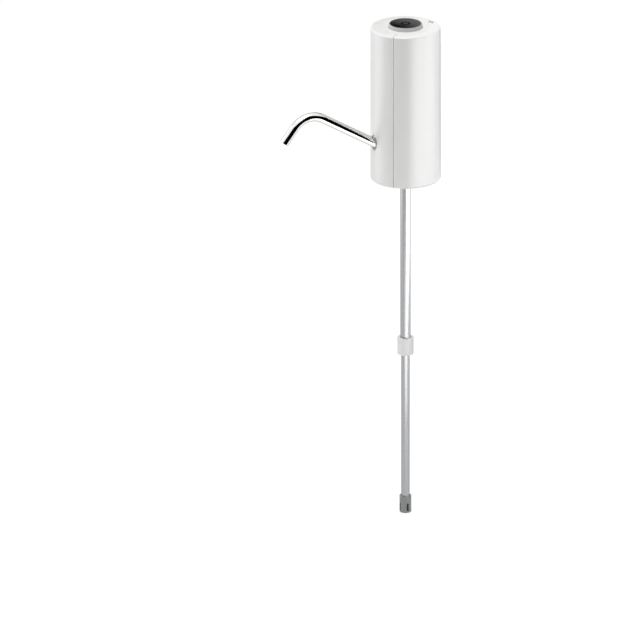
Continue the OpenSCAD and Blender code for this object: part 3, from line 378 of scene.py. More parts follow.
def rounded_copy(node: str, width_mm: float, pick: Pick) -> Object:
    """Makes a piece from a CAD node's copy, with the picked sharp edges rounded.

    Args:
        node: The CAD node's name.
        width_mm: Width of the rounding on each face.
        pick: Says whether an edge is rounded, from its distance to the main axis and its height, both in
            millimetres.

    Returns:
        The piece, shaded smooth.
    """
    shape = merged_copy(node)
    edges = []
    for edge in shape.edges:
        middle = (edge.verts[0].co + edge.verts[1].co) / (2 * MM)
        sharp = edge.is_manifold and edge.calc_face_angle() > CREASE
        if sharp and pick(math.hypot(middle.x, middle.y), middle.z):
            edges.append(edge)
    bmesh.ops.bevel(shape, geom=edges, offset=width_mm * MM, offset_type="OFFSET", segments=ROUND_STEPS,
                    profile=0.5, affect="EDGES", clamp_overlap=False, loop_slide=False)
    torn = sum(not edge.is_manifold for edge in shape.edges)
    LOG.info("%s: %d edges rounded, %d torn", node, len(edges), torn)
    return smooth(mesh_piece(node + "_rounded", shape))


def face_out(piece: Object, skin: Skin) -> None:
    """Gives the faces on a known skin its true normals, so that cuts in it leave no streaks.

    Args:
        piece: The piece, shaded smooth.
        skin: Gives the skin's normal at a point, or nothing where the point is off the skin.
    """
    mesh = piece.data
    normals = [corner.vector.copy() for corner in mesh.corner_normals]
    for face in mesh.polygons:
        found = [skin(mesh.vertices[index].co / MM) for index in face.vertices]
        if None in found or face.normal.angle(sum(found, Vector())) > SKIN_SLACK:
            continue
        for index, normal in zip(face.loop_indices, found):
            normals[index] = normal
    mesh.normals_split_custom_set(normals)


def block(name: str, low_mm: Sequence[float], high_mm: Sequence[float]) -> Object:
    """Makes a plain block between two corners.

    Args:
        name: The piece's name.
        low_mm: The corner with the least X, Y and Z in millimetres.
        high_mm: The opposite corner.

    Returns:
        The piece.
    """
    low, high = Vector(low_mm) * MM, Vector(high_mm) * MM
    shape = bmesh.new()
    place = Matrix.Translation((low + high) / 2) @ Matrix.Diagonal((*(high - low), 1))
    bmesh.ops.create_cube(shape, size=1, matrix=place)
    return mesh_piece(name, shape)


def turned(outline: Sequence[tuple[float, float]], steps: int, ring: bool = False) -> BMesh:
    """Turns an outline round the Z axis into a closed shape.

    Args:
        outline: Radius and height of each point in millimetres. The first and last lie on the axis.
        steps: Sides of the shape.
        ring: The outline is closed and clear of the axis instead.

    Returns:
        The shape, with its faces pointing outwards.
    """
    shape = bmesh.new()
    rims = [shape.verts.new((r * MM, 0, z * MM)) for r, z in outline]
    lines = [shape.edges.new(pair) for pair in zip(rims, rims[1:] + rims[:1] if ring else rims[1:])]
    bmesh.ops.spin(shape, geom=rims + lines, cent=(0, 0, 0), axis=UP, dvec=(0, 0, 0), angle=math.tau,
                   steps=steps)
    bmesh.ops.remove_doubles(shape, verts=shape.verts, dist=WELD)
    bmesh.ops.recalc_face_normals(shape, faces=shape.faces)
    return shape


def printed(name: str, corners: Sequence[tuple[float, float]], level_mm: float, lift_mm: float) -> Object:
    """Makes a thin flat print that stands a hair above a level face and reaches as far below it.

    Args:
        name: The piece's name.
        corners: X and Y of the outline in millimetres.
        level_mm: Height of the face.
        lift_mm: How far the print stands above it.

    Returns:
        The piece, closed.
    """
    shape = bmesh.new()
    face = shape.faces.new([shape.verts.new((x * MM, y * MM, (level_mm - lift_mm) * MM)) for x, y in corners])
    lifted = bmesh.ops.extrude_face_region(shape, geom=[face])["geom"]
    rise = Vector((0, 0, 2 * lift_mm * MM))
    bmesh.ops.translate(shape, vec=rise, verts=[v for v in lifted if isinstance(v, BMVert)])
    bmesh.ops.triangulate(shape, faces=shape.faces)
    bmesh.ops.recalc_face_normals(shape, faces=shape.faces)
    return mesh_piece(name, shape)


def new_tree(name: str, sockets: dict[str, str]) -> tuple[NodeTree, Node]:
    """Starts a Geometry Nodes tree with named inputs.

    Args:
        name: The tree's name.
        sockets: Socket type of each input after the geometry, by name.

    Returns:
        The tree and its input node.
    """
    tree = bpy.data.node_groups.new(name, "GeometryNodeTree")
    tree.interface.new_socket("Geometry", in_out="INPUT", socket_type="NodeSocketGeometry")
    for label, kind in sockets.items():
        tree.interface.new_socket(label, in_out="INPUT", socket_type=kind)
    tree.interface.new_socket("Geometry", in_out="OUTPUT", socket_type="NodeSocketGeometry")
    return tree, add_node(tree, "NodeGroupInput")


def end_tree(tree: NodeTree, shape: Node, finish: NodeSocket) -> None:
    """Ends a tree: instances become a mesh, which takes the finish.

    Args:
        tree: The tree to end.
        shape: The node that gives the geometry.
        finish: The output that gives the material.
    """
    real = add_node(tree, "GeometryNodeRealizeInstances", {"Geometry": shape})
    dressed = add_node(tree, "GeometryNodeSetMaterial", {"Geometry": real, "Material": finish})
    add_node(tree, "NodeGroupOutput", {"Geometry": dressed})


def grow(piece: Object, tree: NodeTree, values: dict[str, Any]) -> None:
    """Puts a tree on a piece and sets its inputs by their identifiers.

    Args:
        piece: The piece that the tree works on.
        tree: The Geometry Nodes tree.
        values: A value for each named input.
    """
    modifier = piece.modifiers.new(tree.name, "NODES")
    modifier.node_group = tree
    for item in tree.interface.items_tree:
        if item.in_out == "INPUT" and item.name in values:
            modifier[item.identifier] = values[item.name]


def swept_tube_tree() -> NodeTree:
    """Builds the tree that sweeps a round skin along a path of edges.

    Returns:
        The tree, with inputs for the outer radius, the sides and the finish.
    """
    tree, given = new_tree("swept_tube", {
        "Outer radius": "NodeSocketFloat",
        "Sides": "NodeSocketInt",
        "Finish": "NodeSocketMaterial",
    })
    path = add_node(tree, "GeometryNodeMeshToCurve", {"Mesh": given.outputs["Geometry"]})
    ring = add_node(tree, "GeometryNodeCurvePrimitiveCircle",
                    {"Resolution": given.outputs["Sides"], "Radius": given.outputs["Outer radius"]})
    skin = add_node(tree, "GeometryNodeCurveToMesh", {"Curve": path, "Profile Curve": ring})
    end_tree(tree, skin, given.outputs["Finish"])
    return tree


def screw_row_tree() -> NodeTree:
    """Builds the tree that cuts a cross recess in a screw and sets a copy on every point.

    Returns:
        The tree, with inputs for the blank, the recess, the screws' turn, its seed and the finish.
    """
    tree, given = new_tree("screw_row", {
        "Blank": "NodeSocketObject",
        "Recess width": "NodeSocketFloat",
        "Recess length": "NodeSocketFloat",
        "Recess depth": "NodeSocketFloat",
        "Turn": "NodeSocketRotation",
        "Seed": "NodeSocketInt",
        "Finish": "NodeSocketMaterial",
    })
    blank = add_node(tree, "GeometryNodeObjectInfo", {"Object": given.outputs["Blank"]})
    # The cutter's middle lies in the head's top, so it is twice as high as the recess is deep
    deep = add_node(tree, "ShaderNodeMath", {0: given.outputs["Recess depth"], 1: 2.0}, operation="MULTIPLY")
    cut = add_node(tree, "GeometryNodeMeshBoolean", {"Mesh 1": blank.outputs["Geometry"]},
                   operation="DIFFERENCE", solver="EXACT")
    for across, along in (("Recess width", "Recess length"), ("Recess length", "Recess width")):
        size = add_node(tree, "ShaderNodeCombineXYZ",
                        {"X": given.outputs[across], "Y": given.outputs[along], "Z": deep})
        wing = add_node(tree, "GeometryNodeMeshCube", {"Size": size})
        tree.links.new(wing.outputs["Mesh"], cut.inputs["Mesh 2"])
    spin = add_node(tree, "FunctionNodeRandomValue", {"Seed": given.outputs["Seed"], RANDOM_MOST: math.tau},
                    data_type="FLOAT")
    twist = add_node(tree, "FunctionNodeAxisAngleToRotation", {"Axis": UP, "Angle": spin.outputs[RANDOM_OUT]})
    faced = add_node(tree, "FunctionNodeRotateRotation",
                     {"Rotation": given.outputs["Turn"], "Rotate By": twist}, rotation_space="LOCAL")
    row = add_node(tree, "GeometryNodeInstanceOnPoints",
                   {"Points": given.outputs["Geometry"], "Instance": cut, "Rotation": faced})
    end_tree(tree, row, given.outputs["Finish"])
    return tree


@dataclass
class SubAssembly:
    """Pieces that are made, dressed and hung on their bodies together."""

    paint: dict[str, Material]

    def hang(self, piece: Object, node: str) -> None:
        """Dresses a piece as the CAD node that it stands for and hangs it on that node's body."""
        self.add(piece, BODY_OF[node], SLOT_OF[node])
        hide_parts(node)

    def add(self, piece: Object, body: str, slot: str, material: Optional[Material] = None) -> None:
        """Dresses a piece and hangs it on a body.

        Args:
            piece: The finished piece.
            body: The CAD body that it moves with.
            slot: The record's slot that its finish belongs to.
            material: A finish of its own, where it isn't the slot's.
        """
        piece.data.materials.clear()
        piece.data.materials.append(material or self.paint[slot])
        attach(piece, body)
        LOG.info("%s: %d faces on %s", piece.name, len(piece.data.polygons), body)


@dataclass
class Housing(SubAssembly):
    """The two shells, the cap and its bead, the charging mark and the socket's dark plastic, partly painted shade.
    """

    seam_round_mm: float = 0.3
    cap_round_mm: float = 0.1
    wall_r_mm: tuple[float, float] = (23.6, 24.06)
    # Distance and height of the top rim's centre line, and its radius
    rim_mm: tuple[float, float, float] = (22.5, 94.8, 1.2)
    rim_slack_mm: float = 0.06
    skin_r_mm: float = 22.6
    top_mm: float = 96.0
    opening_r_mm: float = 17.0
    cap_joint_mm: tuple[float, float] = (15.4, 15.7)
    bead_mm: tuple[float, float] = (95.0, 95.75)
    bead_crown_mm: float = 0.04
    bead_sides: int = 96
    mark_r_mm: float = 19.9
    mark_shift_mm: float = 2.0
    mark_length_mm: float = 7.2
    mark_width_mm: float = 5.0
    mark_lift_mm: float = 0.03
    # The socket's height, the X of its back, back wall and mouth, and the width and height of each block
    socket_mm: float = 85.83
    socket_x_mm: tuple[float, float, float] = (16.4, 16.8, 22.66)
    socket_back_mm: tuple[float, float] = (8.5, 2.8)
    socket_tongue_mm: tuple[float, float] = (6.8, 0.8)

    def build(self) -> None:
        """Makes and hangs the housing's pieces."""
        for node in ("rear_shell", "front_cover"):
            shell = rounded_copy(node, self.seam_round_mm, self._outside)
            face_out(shell, self._skin)
            self.hang(shell, node)
        self.hang(rounded_copy("top_cap", self.cap_round_mm, self._on_top), "top_cap")
        self.add(self._cap_bead(), "pump_head", "white_cover")
        self.add(self._charging_mark(), "pump_head", "light_ring", GREY_INK.build())
        for piece in self._socket_insert():
            self.add(piece, "pump_head", "switch_plastic")

    def _outside(self, radius: float, height: float) -> bool:
        """Says whether an edge of the shells shows from outside."""
        return radius > self.skin_r_mm or (self._on_top(radius, height) and radius < self.opening_r_mm)

    def _on_top(self, radius: float, height: float) -> bool:
        """Says whether an edge lies in the top face."""
        return height > self.top_mm - self.cap_round_mm

    def _skin(self, spot_mm: Vector) -> Optional[Vector]:
        """Gives the normal of the shells' wall or of its round top rim.

        Args:
            spot_mm: A point of the mesh, in millimetres.

        Returns:
            The normal, or nothing where the point is off both.
        """
        out = Vector((spot_mm.x, spot_mm.y, 0))
        (least, most), (rim_r, rim_z, round_r) = self.wall_r_mm, self.rim_mm
        reach, rise = out.length - rim_r, spot_mm.z - rim_z
        if rise <= self.rim_slack_mm:
            return out.normalized() if least < out.length < most else None
        on_rim = abs(math.hypot(reach, rise) - round_r) < self.rim_slack_mm
        return (out.normalized() * reach + UP * rise).normalized() if on_rim else None

    def _cap_bead(self) -> Object:
        """Makes the thin bead that closes the joint round the cap, a little below the top.

        Returns:
            The piece.
        """
        (inner, outer), (low, high) = self.cap_joint_mm, self.bead_mm
        crown = ((inner + outer) / 2, high + self.bead_crown_mm)
        outline = [(inner, low), (outer, low), (outer, high), crown, (inner, high)]
        return smooth(mesh_piece("cap_joint_bead", turned(outline, self.bead_sides, ring=True)))

    def _charging_mark(self) -> Object:
        """Makes the small bolt that is printed on the top above the charging socket.

        Returns:
            The piece.
        """
        outline = BOLT_HALF + tuple((-x, -y) for x, y in BOLT_HALF)
        corners = [(self.mark_r_mm + x * self.mark_width_mm, y * self.mark_length_mm + self.mark_shift_mm)
                   for x, y in outline]
        return printed("charging_mark", corners, self.top_mm, self.mark_lift_mm)

    def _socket_insert(self) -> list[Object]:
        """Makes the socket's dark plastic: its back wall, which is also painted shade of the deep recess, and its
        tongue's skin.

        Returns:
            The two pieces.
        """
        back, wall, mouth = self.socket_x_mm
        level = self.socket_mm
        # The back wall's black is partly the socket's own plastic and partly painted shade where the recess runs
        # deep
        blocks = (
            ("socket_back", back, wall, self.socket_back_mm),
            ("socket_tongue", wall, mouth, self.socket_tongue_mm),
        )
        return [block(name, (near, -wide / 2, level - tall / 2), (far, wide / 2, level + tall / 2))
                for name, near, far, (wide, tall) in blocks]


@dataclass
class ButtonGroup(SubAssembly):
    """The light ring and the dished button in it, with its ring and sign."""

    ring_round_mm: float = 0.12
    ring_top_mm: float = 97.0
    foot_mm: float = 88.53
    post_r_mm: float = 2.2
    flange_mm: tuple[float, float] = (91.9, 92.7)
    flange_r_mm: float = 11.7
    button_r_mm: float = 10.65
    face_mm: float = 98.6
    edge_mm: float = 0.35
    dish_mm: float = 0.3
    symbol_r_mm: tuple[float, float] = (2.7, 3.2)
    symbol_depth_mm: float = 0.25
    ink_r_mm: float = 2.1
    ink_lift_mm: float = 0.012
    sign_r_mm: float = 1.45
    sign_line_mm: float = 0.42
    sign_foot_mm: float = 0.3
    # Where the sign's open circle starts and how far it runs
    sign_arc_deg: tuple[float, float] = (130.0, 280.0)
    sign_steps: int = 28
    sides: int = 128
    edge_steps: int = 6
    dish_steps: int = 16
    pad_steps: int = 6

    def build(self) -> None:
        """Makes and hangs the ring, the button and what is printed on it."""
        self.hang(rounded_copy("button_bezel", self.ring_round_mm, self._above_cap), "button_bezel")
        self.hang(self._button(), "button_cap")
        self.add(self._ink_ring(), "button", "button_black", BLACK_INK.build())
        ink = SIGN_INK.build()
        for piece in self._power_sign():
            self.add(piece, "button", "button_black", ink)

    def _above_cap(self, radius: float, height: float) -> bool:
        """Says whether an edge stands above the cap."""
        return height > self.ring_top_mm

    def _dish(self, radius: float) -> float:
        """Works out the dished face, which is part of a large sphere.

        Args:
            radius: Distance from the face's middle in millimetres.

        Returns:
            The face's height there.
        """
        rim = self.button_r_mm - 2 * self.edge_mm
        sphere = (rim * rim + self.dish_mm * self.dish_mm) / (2 * self.dish_mm)
        return self.face_mm - self.dish_mm + sphere - math.sqrt(sphere * sphere - radius * radius)

    def _dish_run(self, first: float, last: float, steps: int) -> list[tuple[float, float]]:
        """Lists the radius and height of points on the dished face, from one radius to another."""
        radii = [first + (last - first) * step / steps for step in range(steps + 1)]
        return [(radius, self._dish(radius)) for radius in radii]

    def _button(self) -> Object:
        """Turns the button with its flange, softened edge, dish and groove.

        Returns:
            The piece.
        """
        inner, outer = self.symbol_r_mm
        low, high = self.flange_mm
        floor = self.face_mm - self.dish_mm - self.symbol_depth_mm
        outline = [
            (0, self.foot_mm), (self.post_r_mm, self.foot_mm), (self.post_r_mm, low),
            (self.flange_r_mm, low), (self.flange_r_mm, high), (self.button_r_mm, high),
        ]
        for step in range(self.edge_steps + 1):
            turn = math.radians(90 * step / self.edge_steps)
            outline.append((self.button_r_mm - self.edge_mm * (1 - math.cos(turn)),
                            self.face_mm - self.edge_mm * (1 - math.sin(turn))))
        outline += self._dish_run(self.button_r_mm - 2 * self.edge_mm, outer, self.dish_steps)
        outline += [(outer, floor), (inner, floor)]
        outline += self._dish_run(inner, 0, self.pad_steps)
        return smooth(mesh_piece("button_dished", turned(outline, self.sides)))

    def _ink_ring(self) -> Object:
        """Turns the black ring that fills the groove and stands a hair above the face.

        Returns:
            The piece.
        """
        outer = self.symbol_r_mm[1]
        low = self.face_mm - self.dish_mm - self.symbol_depth_mm
        outline = [(self.ink_r_mm, low), (outer, low), (outer, self._dish(outer) + self.ink_lift_mm),
                   (self.ink_r_mm, self._dish(self.ink_r_mm) + self.ink_lift_mm)]
        return smooth(mesh_piece("button_ink_ring", turned(outline, self.sides, ring=True)))

    def _power_sign(self) -> list[Object]:
        """Makes the plain on and off sign.

        Returns:
            An open circle and a bar.
        """
        level = self._dish(self.sign_r_mm)
        inner, half = self.sign_r_mm - self.sign_line_mm, self.sign_line_mm / 2
        first, sweep = self.sign_arc_deg
        turns = [math.radians(first + sweep * k / self.sign_steps) for k in range(self.sign_steps + 1)]
        arc = [(math.cos(t) * self.sign_r_mm, math.sin(t) * self.sign_r_mm) for t in turns]
        arc += [(math.cos(t) * inner, math.sin(t) * inner) for t in reversed(turns)]
        foot, top = self.sign_foot_mm, self.sign_r_mm + half
        bar = [(-half, foot), (half, foot), (half, top), (-half, top)]
        return [printed("power_sign_circle", arc, level, self.ink_lift_mm),
                printed("power_sign_bar", bar, level, self.ink_lift_mm)]


@dataclass
class Spout(SubAssembly):
    """The bent tube, swept along its own path from the swivel's axis, and its grommet."""

    outer_r_mm: float = 3.0
    wall_mm: float = 0.5
    inner_mm: float = 8.016
    run_mm: float = 43.8
    bend_r_mm: float = 16.0
    bend_deg: float = 83.0
    tip_mm: float = 12.7
    lip_mm: float = 0.14
    lip_steps: int = 3
    sides: int = 64
    bend_steps: int = 56
    grommet_round_mm: float = 0.2

    def build(self, tree: NodeTree) -> None:
        """Makes and hangs the tube and the grommet.

        Args:
            tree: The swept_tube tree.
        """
        points = self._path()
        shape = bmesh.new()
        verts = [shape.verts.new(point) for point in points]
        for pair in zip(verts, verts[1:]):
            shape.edges.new(pair)
        tube = mesh_piece("spout_bent_tube", shape)
        grow(tube, tree, {
            "Outer radius": self.outer_r_mm * MM,
            "Sides": self.sides,
            "Finish": self.paint["polished_steel"],
        })
        bake(tube)
        wall = tube.modifiers.new("wall", "SOLIDIFY")
        wall.thickness = self.wall_mm * MM
        wall.offset = -1
        lips = tube.modifiers.new("lips", "BEVEL")
        lips.width = self.lip_mm * MM
        lips.segments = self.lip_steps
        lips.angle_limit = CREASE * 2
        bake(tube)
        smooth(tube)
        self.hang(tube, "spout_tube")
        self.hang(rounded_copy("spout_grommet", self.grommet_round_mm, everywhere), "spout_grommet")

    def _path(self) -> list[Vector]:
        """Works out the centre line from the swivel joint.

        Returns:
            Points from the end inside the block to the tip, in metres.
        """
        joint = next(j for j in frame["joints"] if j["name"] == "spout_swivel")
        out = Vector(joint["axis"]).normalized()
        root = Vector(joint["pos_m"])
        down = out.cross(Vector((0, 1, 0)))
        bend_start = root + out * self.run_mm * MM
        radius = self.bend_r_mm * MM
        centre = bend_start + down * radius
        points = [root - out * self.inner_mm * MM]
        for step in range(self.bend_steps + 1):
            turn = math.radians(self.bend_deg) * step / self.bend_steps
            points.append(centre + (out * math.sin(turn) - down * math.cos(turn)) * radius)
        last = out * math.cos(turn) + down * math.sin(turn)
        points.append(points[-1] + last * self.tip_mm * MM)
        return points


@dataclass
class NeckSeat(SubAssembly):
    """The collar under the body and the ribbed stopper inside it."""

    collar_round_mm: float = 0.25
    rim_mm: float = -11.0
    stopper_round_mm: float = 0.2
    wetted_mm: float = -0.1

    def build(self) -> None:
        """Makes and hangs the collar and the stopper."""
        self.hang(rounded_copy("neck_collar", self.collar_round_mm, self._low), "neck_collar")
        self.hang(rounded_copy("bottle_stopper", self.stopper_round_mm, self._wetted), "bottle_stopper")

    def _low(self, radius: float, height: float) -> bool:
        """Says whether an edge lies in the collar's lower face."""
        return height < self.rim_mm

    def _wetted(self, radius: float, height: float) -> bool:
        """Says whether an edge is on the ribs or the nose."""
        return height < self.wetted_mm


@dataclass
class DipTube(SubAssembly):
    """The telescopic tubes, the gland that holds them and the strainer."""

    rim_round_mm: float = 0.1
    gland_round_mm: float = 0.2
    strainer_round_mm: float = 0.15

    def build(self) -> None:
        """Makes and hangs the tubes, the gland and the strainer."""
        rounds = {
            "dip_tube_upper": self.rim_round_mm,
            "dip_tube_lower": self.rim_round_mm,
            "tube_gland": self.gland_round_mm,
            "intake_strainer": self.strainer_round_mm,
        }
        for node, width in rounds.items():
            self.hang(rounded_copy(node, width, everywhere), node)


class Head(Enum):
    """Kind of screw head, as points: a share of its radius and a height in millimetres."""

    PAN = ((0, 0), (0.6, 0), (0.86, -0.12), (0.97, -0.36), (1, -0.7), (1, -1.3))
    FLAT = ((0, 0), (0.97, 0), (1, -0.06))


@dataclass(frozen=True)
class ScrewRow:
    """One node of like screws: their head, the way they face and the seed of their turns."""

    node: str
    head: Head
    facing: Vector
    seed: int


@dataclass
class Fasteners(SubAssembly):
    """The screws, each with a domed or countersunk head, a cross recess and a ridged shank."""

    shank_r_mm: float = 1.0
    root_r_mm: float = 0.78
    pitch_mm: float = 0.8
    # Where a ridge starts, peaks and ends, as shares of the pitch
    ridge: tuple[float, float, float] = (0.25, 0.6, 0.95)
    sink_mm: float = 1.0
    neck_mm: float = 0.2
    plain_mm: float = 1.0
    tip_mm: float = 0.8
    tip_share: float = 0.3
    sides: int = 24
    recess_width_mm: float = 0.5
    recess_length_mm: float = 1.8
    recess_depth_mm: float = 0.65

    def build(self, tree: NodeTree) -> None:
        """Makes and hangs every row of screws.

        Args:
            tree: The screw_row tree.
        """
        down = -UP
        rows = [
            ScrewRow("board_screws", Head.PAN, UP, 1),
            ScrewRow("shell_screws", Head.PAN, Vector((1, 0, 0)), 2),
            ScrewRow("collar_screws", Head.PAN, down, 3),
            ScrewRow("block_screws", Head.FLAT, down, 4),
            ScrewRow("pump_screws", Head.PAN, down, 5),
            ScrewRow("motor_screws", Head.FLAT, down, 6),
        ]
        for row in rows:
            self._build_row(row, tree)

    def _build_row(self, row: ScrewRow, tree: NodeTree) -> None:
        """Makes one row where the CAD node's solids are.

        Args:
            row: The row's node, head, facing and seed.
            tree: The screw_row tree.
        """
        boxes = self._solids(row.node)
        along = max(range(3), key=lambda i: abs(row.facing[i]))
        length = (boxes[0][1][along] - boxes[0][0][along]) / MM
        wide = (boxes[0][1][along - 1] - boxes[0][0][along - 1]) / (2 * MM)
        blank = mesh_piece("screw_blank", turned(self._outline(row.head, wide, length), self.sides))
        places = bmesh.new()
        for low, high in boxes:
            seat = (low + high) / 2
            seat[along] = (high if row.facing[along] > 0 else low)[along]
            places.verts.new(seat)
        piece = mesh_piece(row.node + "_cut", places)
        grow(piece, tree, {
            "Blank": blank,
            "Recess width": self.recess_width_mm * MM,
            "Recess length": self.recess_length_mm * MM,
            "Recess depth": self.recess_depth_mm * MM,
            "Turn": UP.rotation_difference(row.facing).to_euler(),
            "Seed": row.seed,
            "Finish": self.paint["plated_steel"],
        })
        bake(piece)
        bpy.data.objects.remove(blank)
        smooth(piece)
        self.hang(piece, row.node)

    def _outline(self, head: Head, wide: float, length: float) -> list[tuple[float, float]]:
        """Draws half a screw from the middle of its head down to its tip.

        Args:
            head: The kind of head.
            wide: The head's radius.
            length: The whole length.

        Returns:
            Radius and height of each point, with the head's top at zero.
        """
        root = self.root_r_mm
        points = [(wide * share, height) for share, height in head.value]
        if head is Head.FLAT:
            points.append((self.shank_r_mm, -self.sink_mm))
        start = -points[-1][1] + self.neck_mm
        points.append((root, -start))
        for turn in range(int((length - start - self.plain_mm) / self.pitch_mm)):
            top = start + turn * self.pitch_mm
            for radius, share in zip((root, self.shank_r_mm, root), self.ridge):
                points.append((radius, -top - share * self.pitch_mm))
        points += [(root, self.tip_mm - length), (root * self.tip_share, -length), (0, -length)]
        return points

    def _solids(self, node: str) -> list[tuple[Vector, Vector]]:
        """Finds the separate solids of a CAD node.

        Args:
            node: The CAD node's name.

        Returns:
            The least and the greatest corner of each solid's box, in metres.
        """
        shape = merged_copy(node)
        left = set(shape.verts)
        boxes = []
        for first in shape.verts:
            if first not in left:
                continue
            left.discard(first)
            group, wave = [first], [first]
            while wave:
                wave = [v for w in wave for e in w.link_edges for v in e.verts if v in left]
                wave = list(dict.fromkeys(wave))
                left.difference_update(wave)
                group += wave
            low = Vector([min(v.co[i] for v in group) for i in range(3)])
            high = Vector([max(v.co[i] for v in group) for i in range(3)])
            boxes.append((low, high))
        shape.free()
        return boxes


@dataclass(frozen=True)
class Softbox:
    """An area lamp: where it hangs round the object, its size and its power.

    A lamp that is only mirrored shows in glossy skins and adds no light of its own. Some pieces may be
    spared from it.
    """

    name: str
    azimuth_deg: float
    elevation_deg: float
    distance_mm: float
    width_mm: float
    height_mm: float
    watts: float
    mirrored_only: bool = False
    spared: tuple[str, ...] = ()


@dataclass(frozen=True)
class Flag:
    """An oval dark card that only mirrors show: where it stands and its size.

    The core is the share of it that is quite dark. From there to its edge it fades away.
    """

    name: str
    azimuth_deg: float
    elevation_deg: float
    distance_mm: float
    lift_mm: float
    half_height_mm: float
    core: float
    narrowing: float = 1.0


# Azimuth, elevation, distance, width, height and power of each lamp
LAMPS: tuple[Softbox, ...] = (
    Softbox("left_softbox", -122, 10, 1000, 700, 700, 1.9),
    Softbox("top_softbox", -60, 78, 1200, 900, 900, 9.9),
    Softbox("low_bounce", -10, -50, 330, 300, 200, 0.32),
    # The strips draw the bright bands in the gloss of the body and its rim
    Softbox("left_strip", -122, -10.5, 610, 440, 250, 0.5, mirrored_only=True),
    Softbox("right_strip", 38, -12.7, 430, 790, 290, 3.4, mirrored_only=True, spared=("spout_bent_tube",)),
    Softbox("edge_strip", 100, -12.7, 430, 330, 290, 0.36, mirrored_only=True, spared=("spout_bent_tube",)),
    Softbox("rim_strip", 60, 22, 430, 560, 260, 1.6, mirrored_only=True,
            spared=("spout_bent_tube", "button_dished", "button_bezel_rounded")),
)
# Azimuth, elevation, distance, lift, half height and core of each flag: the first darkens the button's face,
# the second the body's right edge
FLAGS: tuple[Flag, ...] = (
    Flag("button_flag", 166, 7.5, 100, 98.6, 40.5, 0.52),
    Flag("edge_flag", 123, 0, 128, 4, 98, 0.55, narrowing=0.33),
)


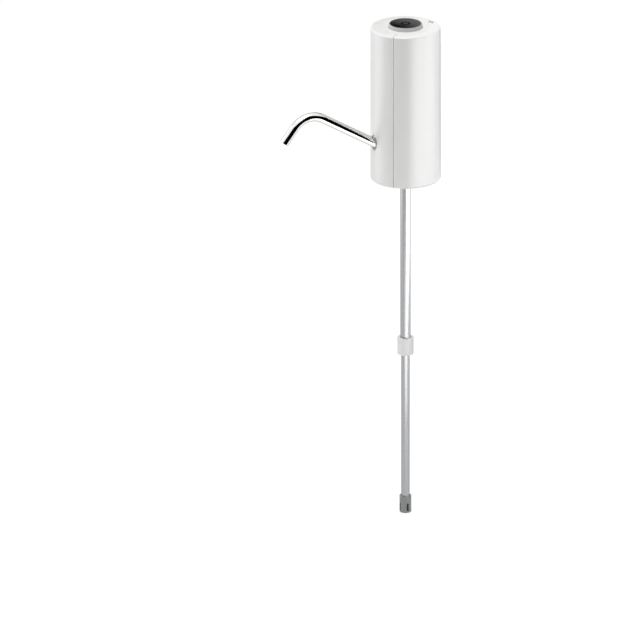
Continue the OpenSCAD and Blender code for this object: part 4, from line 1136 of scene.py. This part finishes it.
@dataclass
class Studio:
    """The floor, the white surround, the soft lamps, the dark cards and the camera.

    Azimuth 0 is in front of the object, on -Y, and 90 is on +X.
    """

    azimuth_deg: float = -24.0
    elevation_deg: float = 21.0
    roll_deg: float = -0.25
    lens_mm: float = 400.0
    sensor_mm: float = 36.0
    mm_per_px: float = 0.68
    frame_px: float = 640.0
    origin_px: tuple[float, float] = (405.5, 160.6)
    floor_gap_mm: float = 0.3
    floor_half_mm: float = 6000.0
    floor_glow: float = 0.86
    floor_veil: str = "898989"
    floor_paper: str = "E7E7E7"
    surround: float = 0.42
    curtain_r_mm: float = 1000.0
    curtain_deg: tuple[float, float] = (-92.0, 86.0)
    curtain_rise_deg: float = 29.0
    # Azimuth and spread of the curtain's peak, and how much higher it stands there
    curtain_peak_deg: tuple[float, float, float] = (14.0, 20.0, 26.0)
    curtain_steps: int = 48
    hem_share: float = 0.99
    mat_r_mm: float = 460.0
    mat_from_deg: float = -2.0
    flag_sides: int = 64
    clip_end_m: float = 50.0

    def build(self) -> None:
        """Sets the stage, lights it and places the camera."""
        scene = bpy.context.scene
        scene.view_settings.view_transform = "Standard"
        self._surround(scene)
        self._floor()
        for box in LAMPS:
            self._lamp(box)
        self._curtain()
        for flag in FLAGS:
            self._flag(flag)
        self._camera(scene)

    def _toward(self, azimuth: float, elevation: float) -> Vector:
        """Gives the direction from the object at an azimuth and an elevation in degrees."""
        a, e = math.radians(azimuth), math.radians(elevation)
        return Vector((math.sin(a) * math.cos(e), -math.cos(a) * math.cos(e), math.sin(e)))

    def _seen(self, tree: NodeTree) -> NodeSocket:
        """Adds a switch for rays that show the stage to the eye, in a mirror or through a clear piece.

        Args:
            tree: The stage's tree.

        Returns:
            The switch's output, 1 for such rays and 0 for the rest.
        """
        path = add_node(tree, "ShaderNodeLightPath").outputs
        mirror = add_node(tree, "ShaderNodeMath", {0: path["Is Camera Ray"], 1: path["Is Glossy Ray"]},
                          operation="MAXIMUM")
        both = add_node(tree, "ShaderNodeMath", {0: mirror, 1: path["Is Transmission Ray"]},
                        operation="MAXIMUM")
        return both.outputs[0]

    def _surround(self, scene: Scene) -> None:
        """Makes the world white to the eye and a soft even light for the rest.

        Args:
            scene: The scene that takes the world.
        """
        world = bpy.data.worlds.new("white_surround")
        tree = empty_tree(world)
        strength = add_node(tree, "ShaderNodeMapRange", {"Value": self._seen(tree), "To Min": self.surround})
        sky = add_node(tree, "ShaderNodeBackground", {"Color": srgb("FFFFFF"), "Strength": strength})
        add_node(tree, "ShaderNodeOutputWorld", {"Surface": sky})
        scene.world = world

    def _floor(self) -> None:
        """Lays a pale floor that stays white to the eye and keeps the shadow."""
        shape = bmesh.new()
        bmesh.ops.create_grid(shape, x_segments=1, y_segments=1, size=self.floor_half_mm * MM)
        bmesh.ops.translate(shape, vec=(0, 0, self._floor_level()), verts=shape.verts)
        floor = mesh_piece("floor", shape)
        material = bpy.data.materials.new("paper_matt_white")
        tree = empty_tree(material)
        glow = add_node(tree, "ShaderNodeEmission", {"Color": srgb("FFFFFF"), "Strength": self.floor_glow})
        veil = add_node(tree, "ShaderNodeBsdfDiffuse", {"Color": srgb(self.floor_veil)})
        bright = add_node(tree, "ShaderNodeAddShader", {0: glow, 1: veil})
        paper = add_node(tree, "ShaderNodeBsdfDiffuse", {"Color": srgb(self.floor_paper)})
        mixed = add_node(tree, "ShaderNodeMixShader", {0: self._seen(tree), 1: paper, 2: bright})
        add_node(tree, "ShaderNodeOutputMaterial", {"Surface": mixed})
        floor.data.materials.append(material)

    def _floor_level(self) -> float:
        """Gives the floor's height, just under the object."""
        return cad_box[0][2] - self.floor_gap_mm * MM

    def _lamp(self, box: Softbox) -> None:
        """Hangs a soft lamp that faces the body.

        Args:
            box: The lamp's place, size, power and spared pieces.
        """
        light = bpy.data.lights.new(box.name, "AREA")
        light.shape = "RECTANGLE"
        light.size = box.width_mm * MM
        light.size_y = box.height_mm * MM
        light.energy = box.watts
        lamp = bpy.data.objects.new(box.name, light)
        back = self._toward(box.azimuth_deg, box.elevation_deg)
        lamp.location = back * box.distance_mm * MM
        lamp.rotation_euler = back.to_track_quat("Z", "Y").to_euler()
        lamp.visible_camera = False
        lamp.visible_diffuse = not box.mirrored_only
        bpy.context.scene.collection.objects.link(lamp)
        if box.spared:
            kept = bpy.data.collections.new(box.name + "_spares")
            for piece in box.spared:
                kept.objects.link(bpy.data.objects[piece])
            for held in kept.collection_objects:
                held.light_linking.link_state = "EXCLUDE"
            lamp.light_linking.receiver_collection = kept

    def _curtain(self) -> None:
        """Hangs a curved black curtain with a mat at its foot, for the dark bands in polished metal."""
        shape = bmesh.new()
        radius = self.curtain_r_mm * MM
        low = self._floor_level() + self.floor_gap_mm * MM
        first, last = self.curtain_deg
        middle, spread, extra = self.curtain_peak_deg
        columns = []
        for step in range(self.curtain_steps + 1):
            azimuth = first + (last - first) * step / self.curtain_steps
            rise = self.curtain_rise_deg + extra * math.exp(-((azimuth - middle) / spread) ** 2)
            foot = self._toward(azimuth, 0)
            inner = radius * self.hem_share if azimuth < self.mat_from_deg else self.mat_r_mm * MM
            rows = ((inner, low), (radius, low), (radius, radius * math.tan(math.radians(rise))))
            columns.append([shape.verts.new((foot.x * r, foot.y * r, z)) for r, z in rows])
        for one, two in zip(columns, columns[1:]):
            for k in range(2):
                shape.faces.new((one[k], two[k], two[k + 1], one[k + 1]))
        curtain = mesh_piece("dark_curtain", shape)
        material = bpy.data.materials.new("velvet_matt_black")
        tree = empty_tree(material)
        black = add_node(tree, "ShaderNodeEmission", {"Strength": 0.0})
        add_node(tree, "ShaderNodeOutputMaterial", {"Surface": black})
        curtain.data.materials.append(material)
        self._mirror_only(curtain)

    def _flag(self, flag: Flag) -> None:
        """Stands an oval dark flag with a soft edge by the object.

        Args:
            flag: The flag's place and size.
        """
        shape = bmesh.new()
        radius = flag.half_height_mm * MM
        bmesh.ops.create_circle(shape, cap_ends=True, segments=self.flag_sides, radius=radius)
        card = mesh_piece(flag.name, shape)
        back = self._toward(flag.azimuth_deg, flag.elevation_deg)
        card.location = (back * flag.distance_mm + UP * flag.lift_mm) * MM
        card.rotation_euler = back.to_track_quat("Z", "Y").to_euler()
        card.scale.x = flag.narrowing
        material = bpy.data.materials.new(flag.name + "_gauze_matt_black")
        tree = empty_tree(material)
        place = add_node(tree, "ShaderNodeTexCoord")
        reach = add_node(tree, "ShaderNodeVectorMath", {0: place.outputs["Object"]}, operation="LENGTH")
        fade = add_node(tree, "ShaderNodeMapRange",
                        {"Value": reach.outputs["Value"], "From Min": radius * flag.core, "From Max": radius})
        black = add_node(tree, "ShaderNodeEmission", {"Strength": 0.0})
        clear = add_node(tree, "ShaderNodeBsdfTransparent")
        mixed = add_node(tree, "ShaderNodeMixShader", {0: fade, 1: black, 2: clear})
        add_node(tree, "ShaderNodeOutputMaterial", {"Surface": mixed})
        card.data.materials.append(material)
        self._mirror_only(card)

    def _mirror_only(self, card: Object) -> None:
        """Hides a card from all but mirrors.

        Args:
            card: The curtain or a flag.
        """
        card.visible_camera = False
        card.visible_diffuse = False
        card.visible_transmission = False
        card.visible_shadow = False

    def _camera(self, scene: Scene) -> None:
        """Places the camera so that the origin falls on its pixel.

        Args:
            scene: The scene that takes the camera.
        """
        back = self._toward(self.azimuth_deg, self.elevation_deg)
        right = UP.cross(back).normalized()
        up = back.cross(right)
        roll = Matrix.Rotation(math.radians(self.roll_deg), 3, back)
        right, up = roll @ right, roll @ up
        aside = (self.origin_px[0] - self.frame_px / 2) * self.mm_per_px * MM
        above = (self.frame_px / 2 - self.origin_px[1]) * self.mm_per_px * MM
        aim = -right * aside - up * above
        distance = self.mm_per_px * MM * self.frame_px * self.lens_mm / self.sensor_mm
        data = bpy.data.cameras.new("camera")
        data.lens = self.lens_mm
        data.sensor_width = self.sensor_mm
        data.clip_end = self.clip_end_m
        camera = bpy.data.objects.new("camera", data)
        turn = Matrix((right, up, back)).transposed().to_4x4()
        camera.matrix_world = Matrix.Translation(aim + back * distance) @ turn
        scene.collection.objects.link(camera)
        scene.camera = camera


def dress_frame(paint: dict[str, Material]) -> None:
    """Gives every CAD node the finish of its slot.

    Args:
        paint: The finished material of each slot.
    """
    for name, node in frame["nodes"].items():
        node.data.materials.clear()
        node.data.materials.append(paint[SLOT_OF[name]])
    LOG.info("%d CAD nodes dressed in %d finishes", len(frame["nodes"]), len(paint))


def main() -> None:
    """Builds the sub-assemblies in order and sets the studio."""
    logging.basicConfig(level=logging.INFO, format="%(name)s: %(message)s")
    paint = {slot: finish.build() for slot, finish in FINISHES.items()}
    dress_frame(paint)
    Housing(paint).build()
    ButtonGroup(paint).build()
    Spout(paint).build(swept_tube_tree())
    NeckSeat(paint).build()
    DipTube(paint).build()
    Fasteners(paint).build(screw_row_tree())
    Studio().build()


if __name__ == "__main__":
    main()
